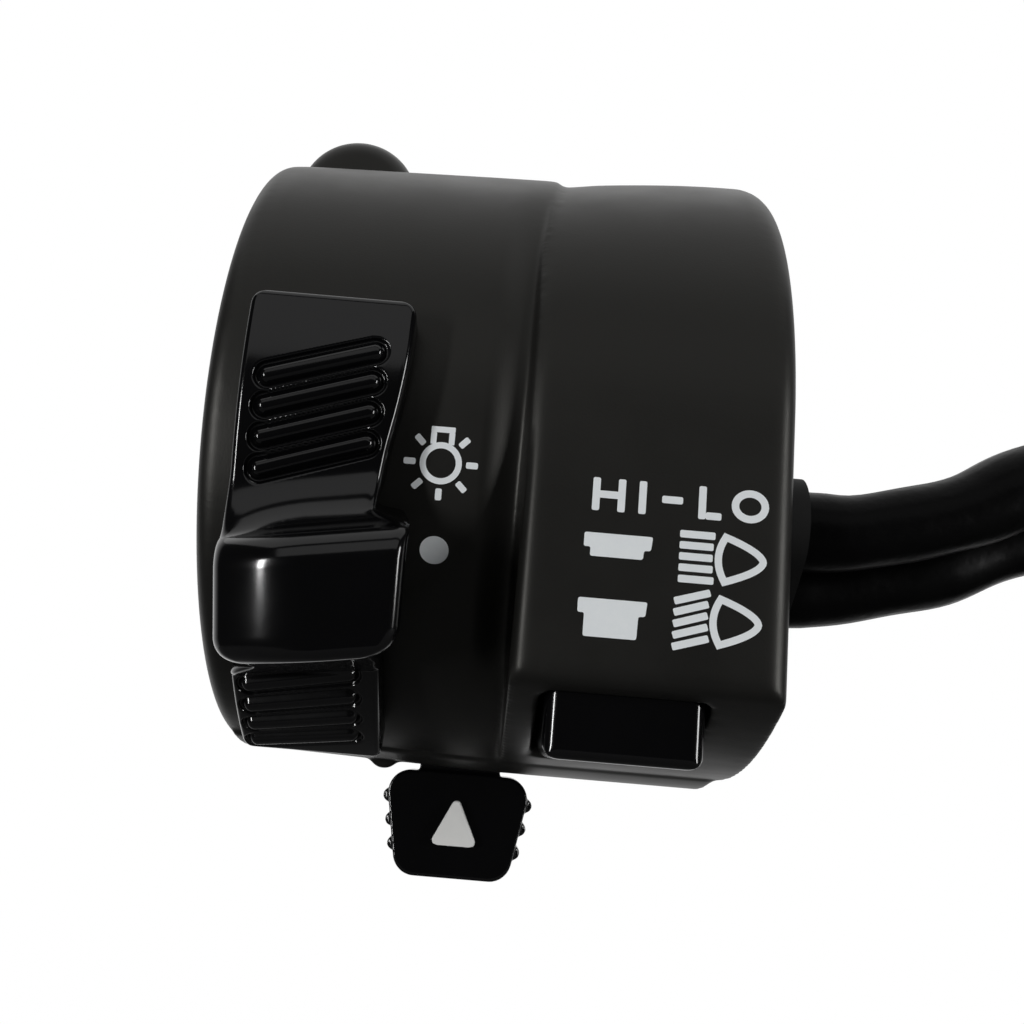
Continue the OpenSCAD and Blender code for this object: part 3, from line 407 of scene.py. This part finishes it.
def true_round(piece):
    """Moves the outer skin onto its true round shape, so that the facets of the CAD mesh don't show."""
    for vert in piece.data.vertices:
        x, y, z = vert.co * MM_PER_M
        pod_side = x > POD_X and y < 0
        middle, radius = (Vector(POD_MID), POD_R) if pod_side else (Vector((0, 0)), body_r_at(x))
        arm = Vector((y, z)) - middle
        gap = radius - arm.length
        share = 1 - ease(max(gap, -OUTSIDE_WEIGHT * gap), *FACET_GAP)
        share *= ease(HALF_LENGTH - abs(x), RIM_ROUND, RIM_ROUND + RIM_FADE)
        if y < 0:
            share *= ease(abs(x - POD_X), *EDGE_FADE)
        if pod_side:
            share *= ease(arm.y, 0, FLAT_FADE)
        vert.co += mm(0, *(share * gap * arm.normalized()))


def soften(piece, chosen):
    """Smooths the chosen points, where the remeshing grid leaves fine steps."""
    shape = bmesh.new()
    shape.from_mesh(piece.data)
    shape.verts.ensure_lookup_table()
    verts = [shape.verts[i] for i in chosen]
    for _ in range(SOFT_PASSES):
        bmesh.ops.smooth_vert(
            shape, verts=verts, factor=SMOOTH_FACTOR, use_axis_x=True, use_axis_y=True, use_axis_z=True)
    shape.to_mesh(piece.data)
    shape.free()


def shape_pod(piece):
    """Presses the groove, leans and softens the pod's left edge, and raises the pod's roof."""
    edge = []
    for vert in piece.data.vertices:
        x, y, z = vert.co * MM_PER_M
        radial = Vector((y, z))
        angle = math.degrees(math.atan2(z, -y))
        if radial.length > GROOVE_SKIN and y < 0:
            if SOFT_FROM < x - POD_X < SOFT_TO:
                edge.append(vert.index)
            depth = GROOVE_DEPTH * between(x, *GROOVE_X) * between(angle, *GROOVE_ANGLES)
            vert.co -= mm(0, *(depth * radial.normalized()))
            vert.co.x += mm(LEAN * ease(angle, *LEAN_ANGLES) * (1 - ease(abs(x - POD_X), *LEAN_FADE)))
        arm = Vector((POD_MID[0] - y, z - POD_MID[1]))
        if x > POD_X and arm.y > 0 and arm.length > POD_SKIN:
            share = (x - POD_X) / POD_LENGTH
            rise = ROOF_RISE * math.sin(min(1, ROOF_PACE * share) * math.pi / 2)
            rise -= ROOF_FALL * ease(share, ROOF_FALL_FROM, 1)
            rise *= (arm.y / arm.length) ** 2
            vert.co += mm(0, -rise * arm.x / arm.length, rise * arm.y / arm.length)
    soften(piece, edge)


front_shell = moulded("front_housing", "front_shell", "housing", "housing_plastic", voxel=0.2, passes=16)
rear_shell = moulded("rear_housing", "rear_shell", "housing", "housing_plastic", voxel=0.35, passes=5)
for shell in (front_shell, rear_shell):
    true_round(shell)
shape_pod(front_shell)
moulded("turn_knob", "turn_thumb_tab", "turn_slider", "knob_plastic", voxel=0.12, passes=8)
moulded("beam_button", "beam_push_button", "beam_plunger", "knob_plastic", voxel=0.12, passes=8)
moulded("turn_marker", "turn_arrow", "turn_slider", "marker_white", voxel=0.1, passes=5)


def make_spring():
    spring = add_object("beam_return_spring", nodes["beam_spring"].data.copy())
    dress(spring, "spring_steel")
    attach(spring, "housing")
    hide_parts("beam_spring")
    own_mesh(spring)


make_spring()


# Headlamp slider: one moulded skin swept along its side profile, in the place of the plain knob
KNOB_X = -11.6
KNOB_BASE_R, KNOB_PAD_R = 26.2, 28.4
KNOB_TOP, KNOB_BOTTOM = math.radians(9.9), math.radians(-65.5)
KNOB_STEP = 0.08
KNOB_COLUMNS, COLUMN_EVEN = 150, 0.6
WALL_STEP, WALL_STEPS = 0.25, 6
WELD = 0.002
END_ROUND = 0.7
EDGE_ROUND = 0.5
CORNER_ROUND = 1.2
BLOCK_X, BLOCK_LEFT, BLOCK_RIGHT = -10.6, -17.3, -4.8
BLOCK_TAPER, TAPER_FROM, BLOCK_CORNER = 0.08, -12, 1.7
BLOCK_LOW, BLOCK_FACE = -20.1, -30.1
BLOCK_LEAN, BLOCK_SLANT = math.radians(10.8), math.radians(9)
BLOCK_TOP, BLOCK_R, FLARE_FROM = 8.1, 33.0, 0.3
# The pads' sides; the upper pad narrows towards the block, and the block's slant fades out along both
PADS_MEET = math.radians(-34)
PAD_LEFT, UPPER_RIGHT, LOWER_RIGHT = -17.25, -6.05, -6.75
UPPER_NARROWS, NARROW_ANGLES = 1.3, (math.radians(-4), math.radians(22))
UPPER_FADE, LOWER_FADE = (math.radians(5), math.radians(15)), (math.radians(-58), math.radians(-45))
CROWN_ROUND, SCOOP_ROUND, FOOT_ROUND = 2.1, 5.0, 0.9
CHEEK_ROUND, CHEEK_START, BLOCK_EDGE = 9.0, 6.2, 0.9
RIB_R, RIB_SLOT, RIB_PROUD, RIB_DEPTH = 0.84, 1.06, 0.25, 0.32
RIB_POWER, RIB_FADE = 1.6, (0.2, 1.2)
UPPER_RIBS = [math.radians(-13.1 + 4.2 * i) for i in range(4)]
LOWER_RIBS = [math.radians(-46.6 - 4.5 * i) for i in range(4)]
UPPER_SLANT, LOWER_SLANT = math.radians(18), math.radians(14)
UPPER_REACH, LOWER_REACH = (-3.9, 3.3), (-4.5, 2.7)


def polar(radius, angle):
    """A point of the side view, Y and Z, from its radius and its angle above the horizontal."""
    return Vector((-radius * math.cos(angle), radius * math.sin(angle)))


def angle_of(point):
    return math.atan2(point.y, -point.x)


def steps(start, end, size):
    """Even steps from start to end, none longer than size."""
    count = max(1, math.ceil(abs(end - start) / size))
    return [start + (end - start) * i / count for i in range(count + 1)]


def arc_between(centre, radius, start, end):
    """Points of an arc; the angles are those of Y and Z."""
    count = max(2, math.ceil(abs(end - start) * radius / KNOB_STEP))
    angles = [start + (end - start) * i / count for i in range(count + 1)]
    return [centre + radius * Vector((math.cos(a), math.sin(a))) for a in angles]


def line_between(start, end):
    count = max(1, math.ceil((end - start).length / KNOB_STEP))
    return [start.lerp(end, i / count) for i in range(count + 1)]


def end_points(edge, inward):
    """The wall and the rounded rim at one end of the slider."""
    points = [polar(KNOB_BASE_R + i * WALL_STEP, edge) for i in range(1, WALL_STEPS + 1)]
    for k in range(0, 91, 10):
        a = math.radians(k)
        run = END_ROUND * (1 - math.cos(a)) / KNOB_PAD_R
        points.append(polar(KNOB_PAD_R - END_ROUND + END_ROUND * math.sin(a), edge + inward * run))
    return points


def side_profile():
    """The slider's side view from its upper to its lower end, with the block's own up and out directions.

    It runs over the upper pad, the scoop, the block's crown, face and underside, and the lower pad.
    """
    up = Vector((-math.sin(BLOCK_LEAN), math.cos(BLOCK_LEAN)))
    out = Vector((-math.cos(BLOCK_LEAN), -math.sin(BLOCK_LEAN)))
    foot = Vector((BLOCK_FACE, BLOCK_LOW))
    crown = foot + BLOCK_TOP * up - CROWN_ROUND * (out + up)
    near, far = SCOOP_ROUND + CROWN_ROUND, SCOOP_ROUND + KNOB_PAD_R
    reach = crown.length
    turn = math.acos((far ** 2 + reach ** 2 - near ** 2) / (2 * far * reach))
    scoop = polar(far, angle_of(crown) + turn)
    start = angle_of(scoop)
    to_crown = crown - scoop
    leave = math.atan2(to_crown.y, to_crown.x)
    meet = math.atan2(-scoop.y, -scoop.x)
    face = math.atan2(out.y, out.x) + 2 * math.pi
    rise = math.atan2(-to_crown.y, -to_crown.x)
    low_y = -math.sqrt(KNOB_PAD_R ** 2 - BLOCK_LOW ** 2)
    heel = Vector((BLOCK_FACE + FOOT_ROUND, BLOCK_LOW + FOOT_ROUND))
    inner = Vector((low_y, BLOCK_LOW))
    rim, pad_step = END_ROUND / KNOB_PAD_R, KNOB_STEP / KNOB_PAD_R
    points = end_points(KNOB_TOP, -1)
    points += [polar(KNOB_PAD_R, a) for a in steps(KNOB_TOP - rim, start, pad_step)]
    points += arc_between(scoop, SCOOP_ROUND, meet, leave)
    points += arc_between(crown, CROWN_ROUND, rise, face)
    toe = heel + FOOT_ROUND * out
    points += line_between(crown + CROWN_ROUND * out, toe)
    points += arc_between(heel, FOOT_ROUND, face, 1.5 * math.pi)
    points += line_between(heel - Vector((0, FOOT_ROUND)), inner)
    points += [polar(KNOB_PAD_R, a) for a in steps(angle_of(inner), KNOB_BOTTOM + rim, pad_step)]
    points += reversed(end_points(KNOB_BOTTOM, 1))
    clean = [points[0]]
    for p in points[1:]:
        if (p - clean[-1]).length > KNOB_STEP / 10:
            clean.append(p)
    return clean, up, out


def rounded(distance, radius):
    """How far a rounded edge falls away at a distance from the edge."""
    short = min(radius, max(0, radius - distance))
    return radius - math.sqrt(radius * radius - short * short)


def rib_height(u, angle):
    """Height of the thumb ribs over the pad: round bars, each in its own narrow groove."""
    height = 0.0
    for angles, slant, (low, high) in (
        (UPPER_RIBS, UPPER_SLANT, UPPER_REACH), (LOWER_RIBS, LOWER_SLANT, LOWER_REACH),
    ):
        for middle in angles:
            v = KNOB_PAD_R * (angle - middle)
            along = u * math.cos(slant) + v * math.sin(slant)
            across = v * math.cos(slant) - u * math.sin(slant)
            distance = math.hypot(max(low - along, 0, along - high), across)
            if distance < RIB_R:
                fall = math.sin(math.pi / 2 * (distance / RIB_R) ** RIB_POWER) ** 2
                height = RIB_PROUD - (RIB_PROUD + RIB_DEPTH) * fall
            elif distance < RIB_SLOT:
                height = -RIB_DEPTH * (1 - ease(distance, RIB_R, RIB_SLOT))
    return height


def slider_sides(p, angle, stand, to_end):
    """Where a row of the slider starts and ends along the bar; stand says how far the row stands off the pads."""
    left = PAD_LEFT + (BLOCK_LEFT - PAD_LEFT + BLOCK_TAPER * max(0, TAPER_FROM - p.y)) * stand
    if angle < PADS_MEET:
        pad_right, flare = LOWER_RIGHT, stand
    else:
        pad_right = UPPER_RIGHT - UPPER_NARROWS * ease(-angle, *NARROW_ANGLES)
        flare = ease(stand, FLARE_FROM, 1)
    right = pad_right + (BLOCK_RIGHT - pad_right) * flare
    corner = rounded(to_end, CORNER_ROUND) + stand * rounded(max(0, p.y - BLOCK_LOW), BLOCK_CORNER)
    return left + corner, right - corner


def slider_row(p, up, out):
    """One row of the slider's skin across the bar, from foot to foot, at a point of the side view."""
    angle = angle_of(p)
    stand = ease(p.length, KNOB_PAD_R, BLOCK_R)
    to_end = KNOB_PAD_R * min(KNOB_TOP - angle, angle - KNOB_BOTTOM)
    left, right = slider_sides(p, angle, stand, to_end)
    fade = ease(angle, *LOWER_FADE) if angle < PADS_MEET else ease(-angle, *UPPER_FADE)
    outward = polar(1, angle)
    tilt = Vector((outward.y, -outward.x)).lerp(up, stand).normalized()
    normal = outward.lerp(out, stand).normalized()
    row = []
    for j in range(KNOB_COLUMNS + 1):
        t = j / KNOB_COLUMNS
        share = COLUMN_EVEN * t + (1 - COLUMN_EVEN) * (0.5 - 0.5 * math.cos(math.pi * t))
        x = left + (right - left) * share
        point = p + tilt * (fade * math.tan(BLOCK_SLANT) * (x - BLOCK_X))
        to_side = min(x - left, right - x)
        cheek = max(0, CHEEK_START - x + left) ** 2 / (2 * CHEEK_ROUND)
        drop = (1 - stand) * rounded(to_side, EDGE_ROUND) + stand * (cheek + rounded(to_side, BLOCK_EDGE))
        rib = rib_height(x - KNOB_X, angle_of(point)) * (1 - stand)
        point = point + normal * (rib * ease(to_end, *RIB_FADE) - drop)
        if point.length < KNOB_BASE_R:
            point = point.normalized() * KNOB_BASE_R
        row.append(mm(x, point.x, point.y))
    feet = []
    for x, edge in ((left + stand, row[0]), (right - stand, row[-1])):
        foot = edge.yz.normalized() * mm(KNOB_BASE_R)
        feet.append((mm(x), foot.x, foot.y))
    return [feet[0]] + row + [feet[1]]


def make_slider():
    profile, up, out = side_profile()
    skin = bmesh.new()
    rows = [[skin.verts.new(corner) for corner in slider_row(p, up, out)] for p in profile]
    for row, following in zip(rows, rows[1:]):
        for j in range(len(row)):
            after = (j + 1) % len(row)
            skin.faces.new((row[j], row[after], following[after], following[j]))
    for row in (rows[0], rows[-1]):
        skin.faces.new(row)
    bmesh.ops.remove_doubles(skin, verts=list(skin.verts), dist=mm(WELD))
    bmesh.ops.dissolve_degenerate(skin, dist=mm(WELD), edges=list(skin.edges))
    bmesh.ops.recalc_face_normals(skin, faces=list(skin.faces))
    slider = add_mesh("light_thumb_slider", skin, smooth=True)
    dress(slider, "knob_plastic")
    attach(slider, "light_slider")
    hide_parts("light_knob")


make_slider()


# The slider's stem goes through the shell's slot to the carrier inside
STEM_W, STEM_T = 4, 4.6
STEM_FROM, STEM_TO = 20.0, 26.6
STEM_ANGLE = math.radians(-28)
STEM_EDGE, STEM_EDGE_STEPS = 0.3, 3


def make_stem():
    shape = bmesh.new()
    bmesh.ops.create_cube(shape, size=1)
    for vert in shape.verts:
        x, y, z = vert.co
        vert.co = Vector((STEM_W * x, STEM_T * y, (STEM_TO - STEM_FROM) * (z + 0.5)))
    bmesh.ops.bevel(
        shape, geom=list(shape.edges), offset=STEM_EDGE, segments=STEM_EDGE_STEPS, profile=0.5, affect="EDGES")
    out = polar(1, STEM_ANGLE)
    along = Vector((math.sin(STEM_ANGLE), math.cos(STEM_ANGLE)))
    for vert in shape.verts:
        x, t, r = vert.co
        vert.co = mm(KNOB_X + x, *((STEM_FROM + r) * out + t * along))
    stem = add_mesh("light_slider_stem", shape)
    dress(stem, "knob_plastic")
    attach(stem, "light_slider")


make_stem()


# Printed signs: thin ink on the pod's flat face and on the round body
POD_FACE = -26.3
INK_T = 0.03
INK_SINK = 0.05
LINE_ROUND = 0.12
ROUND_ANGLES = [math.radians(a) for a in (0, 30, 60, 90)]
# The least share that a loop's sharp corner is narrowed to, and the steps of a rounded corner
LEAST_STRETCH, CORNER_STEPS = 0.5, 4


def end_rounded(points, width, radius):
    """Centre points and half widths of a line with softly rounded ends."""
    first, last = (points[1] - points[0]).normalized(), (points[-1] - points[-2]).normalized()
    runs = [radius * (1 - math.cos(a)) for a in ROUND_ANGLES]
    halves = [width / 2 - radius + radius * math.sin(a) for a in ROUND_ANGLES]
    line = [(points[0] + first * run, half) for run, half in zip(runs, halves)]
    line += [(p, width / 2) for p in points[1:-1]]
    line += [(points[-1] - last * run, half) for run, half in zip(reversed(runs), reversed(halves))]
    return line


def stroke(points, width, radius=LINE_ROUND):
    """A line of ink with softly rounded ends, as strips of four-cornered faces."""
    line = end_rounded([Vector(p) for p in points], width, radius)
    sides = []
    for i, (p, half) in enumerate(line):
        along = (line[min(i + 1, len(line) - 1)][0] - line[max(i - 1, 0)][0]).normalized()
        across = Vector((-along.y, along.x)) * half
        sides.append((p + across, p - across))
    return [[a[0], b[0], b[1], a[1]] for a, b in zip(sides, sides[1:])]


def loop(points, width):
    """A closed line of ink of even width."""
    points = [Vector(p) for p in points]
    count = len(points)
    sides = []
    for i, p in enumerate(points):
        before = (p - points[i - 1]).normalized()
        after = (points[(i + 1) % count] - p).normalized()
        normal = Vector((-(before + after).y, (before + after).x)).normalized()
        stretch = max(LEAST_STRETCH, normal.dot(Vector((-after.y, after.x))))
        sides.append((p + normal * width / 2 / stretch, p - normal * width / 2 / stretch))
    return [[a[0], b[0], b[1], a[1]] for a, b in zip(sides, sides[1:] + sides[:1])]


def solid(points, radius):
    """A filled shape with its corners rounded, as one face."""
    points = [Vector(p) for p in points]
    count = len(points)
    outline = []
    for i, p in enumerate(points):
        back, ahead = (points[i - 1] - p).normalized(), (points[(i + 1) % count] - p).normalized()
        start, end = p + back * radius, p + ahead * radius
        for k in range(CORNER_STEPS + 1):
            t = k / CORNER_STEPS
            outline.append((1 - t) ** 2 * start + 2 * t * (1 - t) * p + t * t * end)
    return [outline]


def ring_points(centre, radius):
    """Points round a circle, which a loop or a face closes."""
    angles = [math.radians(a) for a in range(0, 360, 10)]
    return [(centre[0] + radius * math.cos(a), centre[1] + radius * math.sin(a)) for a in angles]


def on_pod(u, v, height):
    return mm(u, POD_FACE - height, v)


def on_body(u, v, height):
    """v runs round the body, from the horizontal upwards."""
    angle = v / BODY_R
    radius = body_r_at(u) + height
    return mm(u, -radius * math.cos(angle), radius * math.sin(angle))


def print_sign(name, faces, place):
    """Raises flat ink shapes a little above the surface that carries them."""
    shape = bmesh.new()
    corners = {}
    for face in faces:
        ring = []
        for p in face:
            key = (round(p.x, 4), round(p.y, 4))
            if key not in corners:
                corners[key] = shape.verts.new((p.x, p.y, -INK_SINK))
            ring.append(corners[key])
        shape.faces.new(ring)
    raised = bmesh.ops.extrude_face_region(shape, geom=list(shape.faces))
    for item in raised["geom"]:
        if isinstance(item, bmesh.types.BMVert):
            item.co.z = INK_T
    bmesh.ops.recalc_face_normals(shape, faces=list(shape.faces))
    for vert in shape.verts:
        vert.co = place(*vert.co)
    piece = add_mesh(name, shape)
    dress(piece, "print_ink")
    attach(piece, "housing")


# Generic lettering over the beam signs
WORD_TOP, WORD_BASE = -6.0, -8.25
WORD_LINE = 0.5
H_LEFT, H_RIGHT, I_X = 7.0, 8.7, 10.1
DASH_LEFT, DASH_RIGHT = 11.4, 12.8
L_LEFT, L_RIGHT = 14.1, 15.4
O_MID, O_HALF = 17.3, 1.0
SQUARE_END = 0.01


def word_faces():
    top, base, half = WORD_TOP - WORD_LINE / 2, WORD_BASE + WORD_LINE / 2, (WORD_TOP + WORD_BASE) / 2
    faces = []
    for x in (H_LEFT, H_RIGHT, I_X, L_LEFT):
        faces += stroke([(x, WORD_TOP), (x, WORD_BASE)], WORD_LINE)
    faces += stroke([(H_LEFT + WORD_LINE / 2, half), (H_RIGHT - WORD_LINE / 2, half)], WORD_LINE, SQUARE_END)
    faces += stroke([(DASH_LEFT, half), (DASH_RIGHT, half)], WORD_LINE)
    faces += stroke([(L_LEFT + WORD_LINE / 2, base), (L_RIGHT, base)], WORD_LINE)
    angles = [math.radians(a) for a in range(0, 360, 12)]
    ring = [(O_MID + O_HALF * math.cos(a), half + (top - half) * math.sin(a)) for a in angles]
    return faces + loop(ring, WORD_LINE)


# Beam button, pushed in and out, and the headlamp that goes with each
BRIM, BRIM_TAPER, BODY_TAPER, BUTTON_ROUND = 0.45, 0.1, 0.15, 0.16
LENS_HALF, LENS_REACH, LENS_POWER, LENS_BULGE = 1.5, 2.52, 1.75, 0.45
LENS_FROM, LENS_LINE, LENS_STEPS, BACK_STEPS = 3.05, 0.48, 24, 12
BEAM_COUNT, BEAM_PITCH, BEAM_W, BEAM_SHORTER = 5, 0.75, 2.35, 0.12
BEAM_LINE, BEAM_ROUND = 0.5, 0.1


def plunger_faces(left, right, top, brim, bottom):
    """A button seen from the side: a brim with its body below."""
    return solid([
        (left, top), (right, top), (right - BRIM_TAPER, brim), (right - BRIM - BRIM_TAPER, brim),
        (right - BRIM - BODY_TAPER, bottom), (left + BRIM, bottom), (left + BRIM, brim), (left, brim),
    ], BUTTON_ROUND)


def lamp_faces(left, middle, bar_rise):
    """A headlamp with five beams; bar_rise tips the beams."""
    corner = left + LENS_FROM
    lens = []
    for i in range(LENS_STEPS + 1):
        v = LENS_HALF * (1 - 2 * i / LENS_STEPS)
        lens.append((corner + LENS_REACH * (1 - abs(v / LENS_HALF) ** LENS_POWER), middle + v))
    for i in range(1, BACK_STEPS):
        v = LENS_HALF * (2 * i / BACK_STEPS - 1)
        lens.append((corner - LENS_BULGE * (1 - (v / LENS_HALF) ** 2), middle + v))
    faces = loop(lens, LENS_LINE)
    mid_beam = BEAM_COUNT // 2
    for i in range(BEAM_COUNT):
        level = middle + BEAM_PITCH * (mid_beam - i)
        short = BEAM_SHORTER * (1 - ((i - mid_beam) / mid_beam) ** 2)
        end = left + BEAM_W - short
        faces += stroke([(left, level - bar_rise / 2), (end, level + bar_rise / 2)], BEAM_LINE, BEAM_ROUND)
    return faces


print_sign("print_word", word_faces(), on_pod)
button_in = plunger_faces(left=6.4, right=10.95, top=-9.76, brim=-10.72, bottom=-11.34)
button_out = plunger_faces(left=6.28, right=10.83, top=-14.12, brim=-15.1, bottom=-16.64)
print_sign("print_button_in", button_in, on_pod)
print_sign("print_button_out", button_out, on_pod)
print_sign("print_high_beam", lamp_faces(left=12.72, middle=-10.84, bar_rise=0), on_pod)
print_sign("print_low_beam", lamp_faces(left=12.56, middle=-15.0, bar_rise=0.72), on_pod)

# Bulb and off dot beside the slider
BULB_X = -3.6
BULB_ANGLE, DOT_ANGLE = math.radians(-12.7), math.radians(-26)
DOT_R, RING_R, RING_LINE = 1.0, 1.23, 0.42
NECK_X, NECK_LOW, NECK_HIGH, NECK_LINE, NECK_ROUND = 0.62, 1.28, 2.1, 0.4, 0.05
RAY_ANGLES = (-180, -135, -90, -45, 0, 45, 135)
RAY_FROM, RAY_LENGTH, RAY_LINE = 1.72, 0.82, 0.44


def bulb_faces():
    mid = BULB_ANGLE * BODY_R
    faces = loop(ring_points((BULB_X, mid), RING_R), RING_LINE)
    for x in (BULB_X - NECK_X, BULB_X + NECK_X):
        faces += stroke([(x, mid + NECK_LOW), (x, mid + NECK_HIGH)], NECK_LINE, NECK_ROUND)
    cap_x, cap = NECK_X + NECK_LINE / 2, mid + NECK_HIGH + NECK_LINE / 2
    faces += stroke([(BULB_X - cap_x, cap), (BULB_X + cap_x, cap)], NECK_LINE, NECK_ROUND)
    for angle in RAY_ANGLES:
        way = Vector((math.cos(math.radians(angle)), math.sin(math.radians(angle))))
        start = Vector((BULB_X, mid)) + way * RAY_FROM
        faces += stroke([start, start + way * RAY_LENGTH], RAY_LINE)
    return faces


def dot_faces():
    return [[Vector(p) for p in ring_points((BULB_X, DOT_ANGLE * BODY_R), DOT_R)]]


print_sign("print_bulb", bulb_faces(), on_body)
print_sign("print_off_dot", dot_faces(), on_body)


# Studio: a pale floor, a plain soft world and softboxes, all in metres apart from the floor's gap
FLOOR_GAP = 0.5
FLOOR_R, FLOOR_SIDES = 0.2, 64
FLOOR_BACK = 0.06
FLOOR_TONE, FLOOR_ROUGH = 0.2, 0.9
FLOOR_WHITE, WHITE_SHARE = 1.1, 0.9
FLOOR_BEHIND = 0.03, 0.12
ROOM = 0.03
ROOM_BEHIND = 0.2, 0.8
# Name, place, aim, width, height and radiance
SOFTBOXES = (
    ("window", (0, -0.52, 0.34), (0, 0, 0), 0.9, 0.36, 0.5),
    ("ceiling", (0, 0.05, 0.6), (0, 0, 0), 1.2, 0.9, 0.59),
    ("strip_left", (-0.36, -0.36, -0.04), (0, 0, 0), 0.04, 0.2, 46),
    ("strip_right", (0.42, -0.22, 0.02), (0, 0, -0.01), 0.08, 0.24, 16),
)


def mix_math(tree, operation, first, second):
    node = tree.nodes.new("ShaderNodeMath")
    node.operation = operation
    tree.links.new(first, node.inputs[0])
    tree.links.new(second, node.inputs[1])
    return node.outputs[0]


def seen_white(tree, place, behind):
    """1 for the camera, and for mirrors too where the place lies behind the object; behind is its range of Y."""
    path = tree.nodes.new("ShaderNodeLightPath")
    split = tree.nodes.new("ShaderNodeSeparateXYZ")
    tree.links.new(place, split.inputs["Vector"])
    far = spread(tree, split.outputs["Y"], 0, 1, *behind)
    mirrored = mix_math(tree, "MULTIPLY", path.outputs["Is Glossy Ray"], far)
    return mix_math(tree, "MAXIMUM", mirrored, path.outputs["Is Camera Ray"])


def make_floor():
    """White where the camera looks and, behind the object, in mirrors; it takes a faint shadow."""
    shape = bmesh.new()
    bmesh.ops.create_circle(shape, cap_ends=True, segments=FLOOR_SIDES, radius=FLOOR_R)
    floor = add_mesh("floor", shape)
    middle = (cad_box[0] + cad_box[1]) / 2
    floor.location = (middle.x, middle.y + FLOOR_BACK, cad_box[0].z - mm(FLOOR_GAP))
    material, tree, shader = new_material("floor")
    shader.inputs["Base Color"].default_value = (FLOOR_TONE, FLOOR_TONE, FLOOR_TONE, 1)
    shader.inputs["Roughness"].default_value = FLOOR_ROUGH
    white = tree.nodes.new("ShaderNodeEmission")
    white.inputs["Strength"].default_value = FLOOR_WHITE
    mix = tree.nodes.new("ShaderNodeMixShader")
    output = next(n for n in tree.nodes if n.type == "OUTPUT_MATERIAL")
    place = tree.nodes.new("ShaderNodeNewGeometry")
    seen = seen_white(tree, place.outputs["Position"], FLOOR_BEHIND)
    share = spread(tree, seen, 0, WHITE_SHARE, start=0, end=1)
    tree.links.new(share, mix.inputs["Fac"])
    tree.links.new(shader.outputs["BSDF"], mix.inputs[1])
    tree.links.new(white.outputs["Emission"], mix.inputs[2])
    tree.links.new(mix.outputs["Shader"], output.inputs["Surface"])
    floor.data.materials.append(material)


def make_world():
    """White where the camera looks and behind the object, and a dark room in front of it."""
    world = bpy.data.worlds.new("studio")
    scene.world = world
    world.use_nodes = True
    tree = world.node_tree
    background = next(n for n in tree.nodes if n.type == "BACKGROUND")
    background.inputs["Color"].default_value = (1, 1, 1, 1)
    path = tree.nodes.new("ShaderNodeLightPath")
    place = tree.nodes.new("ShaderNodeTexCoord")
    seen = seen_white(tree, place.outputs["Generated"], ROOM_BEHIND)
    seen = mix_math(tree, "MAXIMUM", seen, path.outputs["Is Transmission Ray"])
    tree.links.new(spread(tree, seen, ROOM, 1, start=0, end=1), background.inputs["Strength"])


def softbox(name, place, aim, width, height, radiance):
    data = bpy.data.lights.new(name, "AREA")
    data.shape = "RECTANGLE"
    data.size, data.size_y = width, height
    data.energy = radiance * math.pi * width * height
    lamp = add_object(name, data)
    lamp.location = place
    lamp.rotation_euler = (Vector(aim) - Vector(place)).to_track_quat("-Z", "Y").to_euler()


make_floor()
make_world()
for values in SOFTBOXES:
    softbox(*values)
